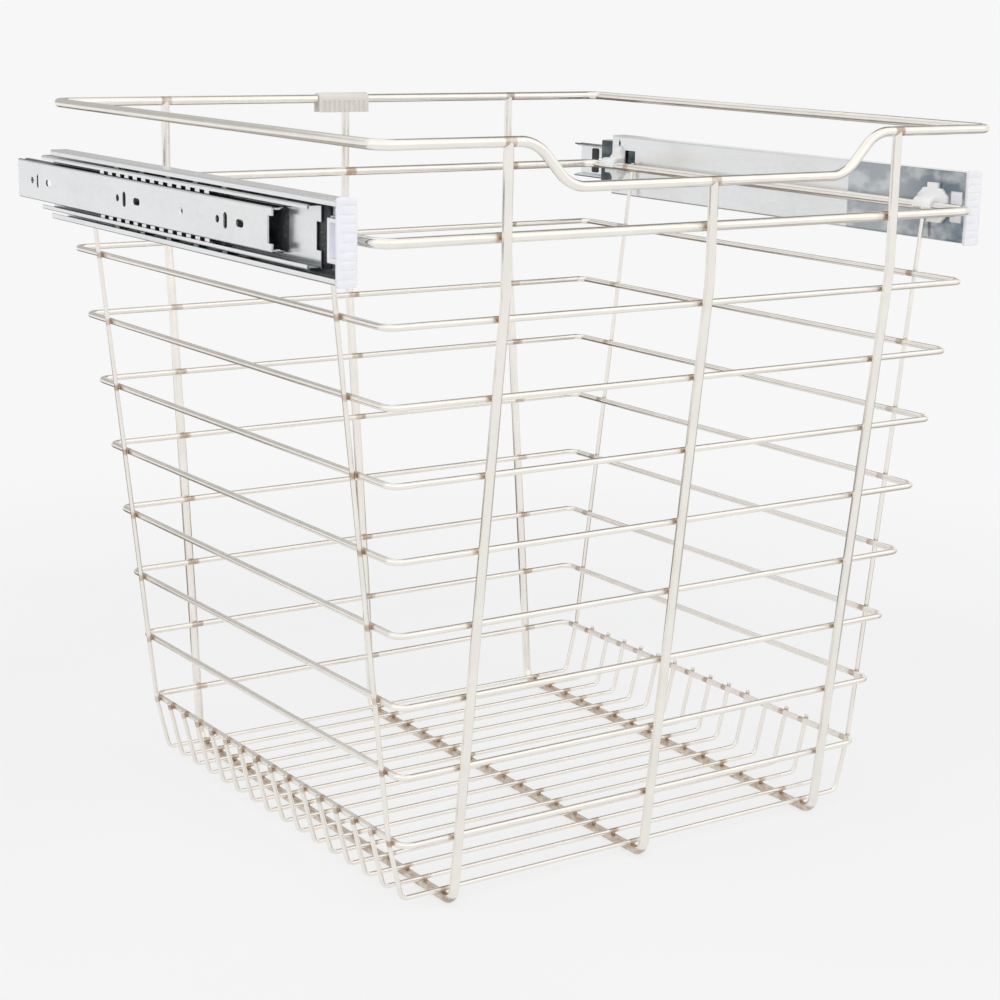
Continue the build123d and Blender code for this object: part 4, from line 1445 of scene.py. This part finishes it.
class MakeStage(bpy.types.Operator):
    """Set the floor, the light, the background and the camera"""

    bl_idname = "basket.stage"
    bl_label = "Stage"

    def execute(self, context):
        scene = context.scene
        deselect()
        bpy.ops.mesh.primitive_plane_add(size=FLOOR_SIZE, location=(0, 0, 0))
        floor = bpy.context.object
        floor.name = "floor"
        floor.data.materials.append(backdrop_finish())

        world = bpy.data.worlds.new("studio")
        scene.world = world
        world.use_nodes = True
        nodes, links = world.node_tree.nodes, world.node_tree.links
        seen, lit = nodes["Background"], nodes.new("ShaderNodeBackground")
        seen.inputs["Color"].default_value = (*colour("backdrop"), 1)
        lit.inputs["Color"].default_value = ROOM_LIGHT
        lit.inputs["Strength"].default_value = ROOM_STRENGTH
        path, mix = nodes.new("ShaderNodeLightPath"), nodes.new("ShaderNodeMixShader")
        shares = [path.outputs[f"Is {kind} Ray"] for kind in ("Camera", "Glossy", "Transmission")]
        share = shares[0]
        for other in shares[1:]:
            larger = nodes.new("ShaderNodeMath")
            larger.operation = "MAXIMUM"
            links.new(share, larger.inputs[0])
            links.new(other, larger.inputs[1])
            share = larger.outputs[0]
        links.new(share, mix.inputs[0])
        links.new(lit.outputs[0], mix.inputs[1])
        links.new(seen.outputs[0], mix.inputs[2])
        links.new(mix.outputs[0], nodes["World Output"].inputs["Surface"])

        for lamp in SOFTBOXES:
            softbox(*lamp)
        for card in STANDING_CARDS:
            dark_card(*card)
        for card in FLOOR_CARDS:
            floor_card(*card)

        deselect()
        bpy.ops.object.camera_add()
        camera = bpy.context.object
        camera.name = "photo_camera"
        turn = Matrix((CAMERA_RIGHT, -CAMERA_DOWN, -CAMERA_FORWARD)).transposed().to_4x4()
        camera.matrix_world = Matrix.Translation(CAMERA_PLACE) @ turn
        camera.data.sensor_width = 36
        camera.data.lens = CAMERA_LENS
        camera.data.clip_start, camera.data.clip_end = 0.01, 500
        scene.camera = camera
        scene.view_settings.view_transform = "Standard"
        return {"FINISHED"}


MAKERS = (
    MakeRim, MakeHangingLoop, MakeSideLoops, MakeUprights, MakeFloorRods, MakeWelds, MakeRimClip,
    MakeWideChannels, MakeMiddleChannels, MakePanelChannels, MakeCages, MakeBalls, MakeStopPads,
    MakeEndPlates, MakeHangerClips, MakeStage,
)
SETTINGS = {
    "basket_wires": WireSizes,
    "basket_slides": SlideSizes,
    "basket_clips": ClipSizes,
    "basket_finishes": Finishes,
}


class BasketPanel(bpy.types.Panel):
    """Buttons for the basket's pieces and the values that shape them"""

    bl_idname = "VIEW3D_PT_basket"
    bl_label = "Wire basket"
    bl_space_type = "VIEW_3D"
    bl_region_type = "UI"
    bl_category = "Basket"

    def draw(self, context):
        for name, group in SETTINGS.items():
            box = self.layout.box()
            for setting in group.__annotations__:
                box.prop(getattr(context.scene, name), setting)
        for maker in MAKERS:
            self.layout.operator(maker.bl_idname)


def register():
    """Register the settings, the operators and the panel."""
    for group in SETTINGS.values():
        bpy.utils.register_class(group)
    for name, group in SETTINGS.items():
        setattr(bpy.types.Scene, name, bpy.props.PointerProperty(type=group))
    for maker in MAKERS:
        bpy.utils.register_class(maker)
    bpy.utils.register_class(BasketPanel)


def unregister():
    """Take them away again."""
    bpy.utils.unregister_class(BasketPanel)
    for maker in reversed(MAKERS):
        bpy.utils.unregister_class(maker)
    for name in SETTINGS:
        delattr(bpy.types.Scene, name)
    for group in SETTINGS.values():
        bpy.utils.unregister_class(group)


def main():
    """Make every piece and the stage."""
    register()
    for maker in MAKERS:
        group, name = maker.bl_idname.split(".")
        getattr(getattr(bpy.ops, group), name)()


if __name__ == "__main__":
    main()
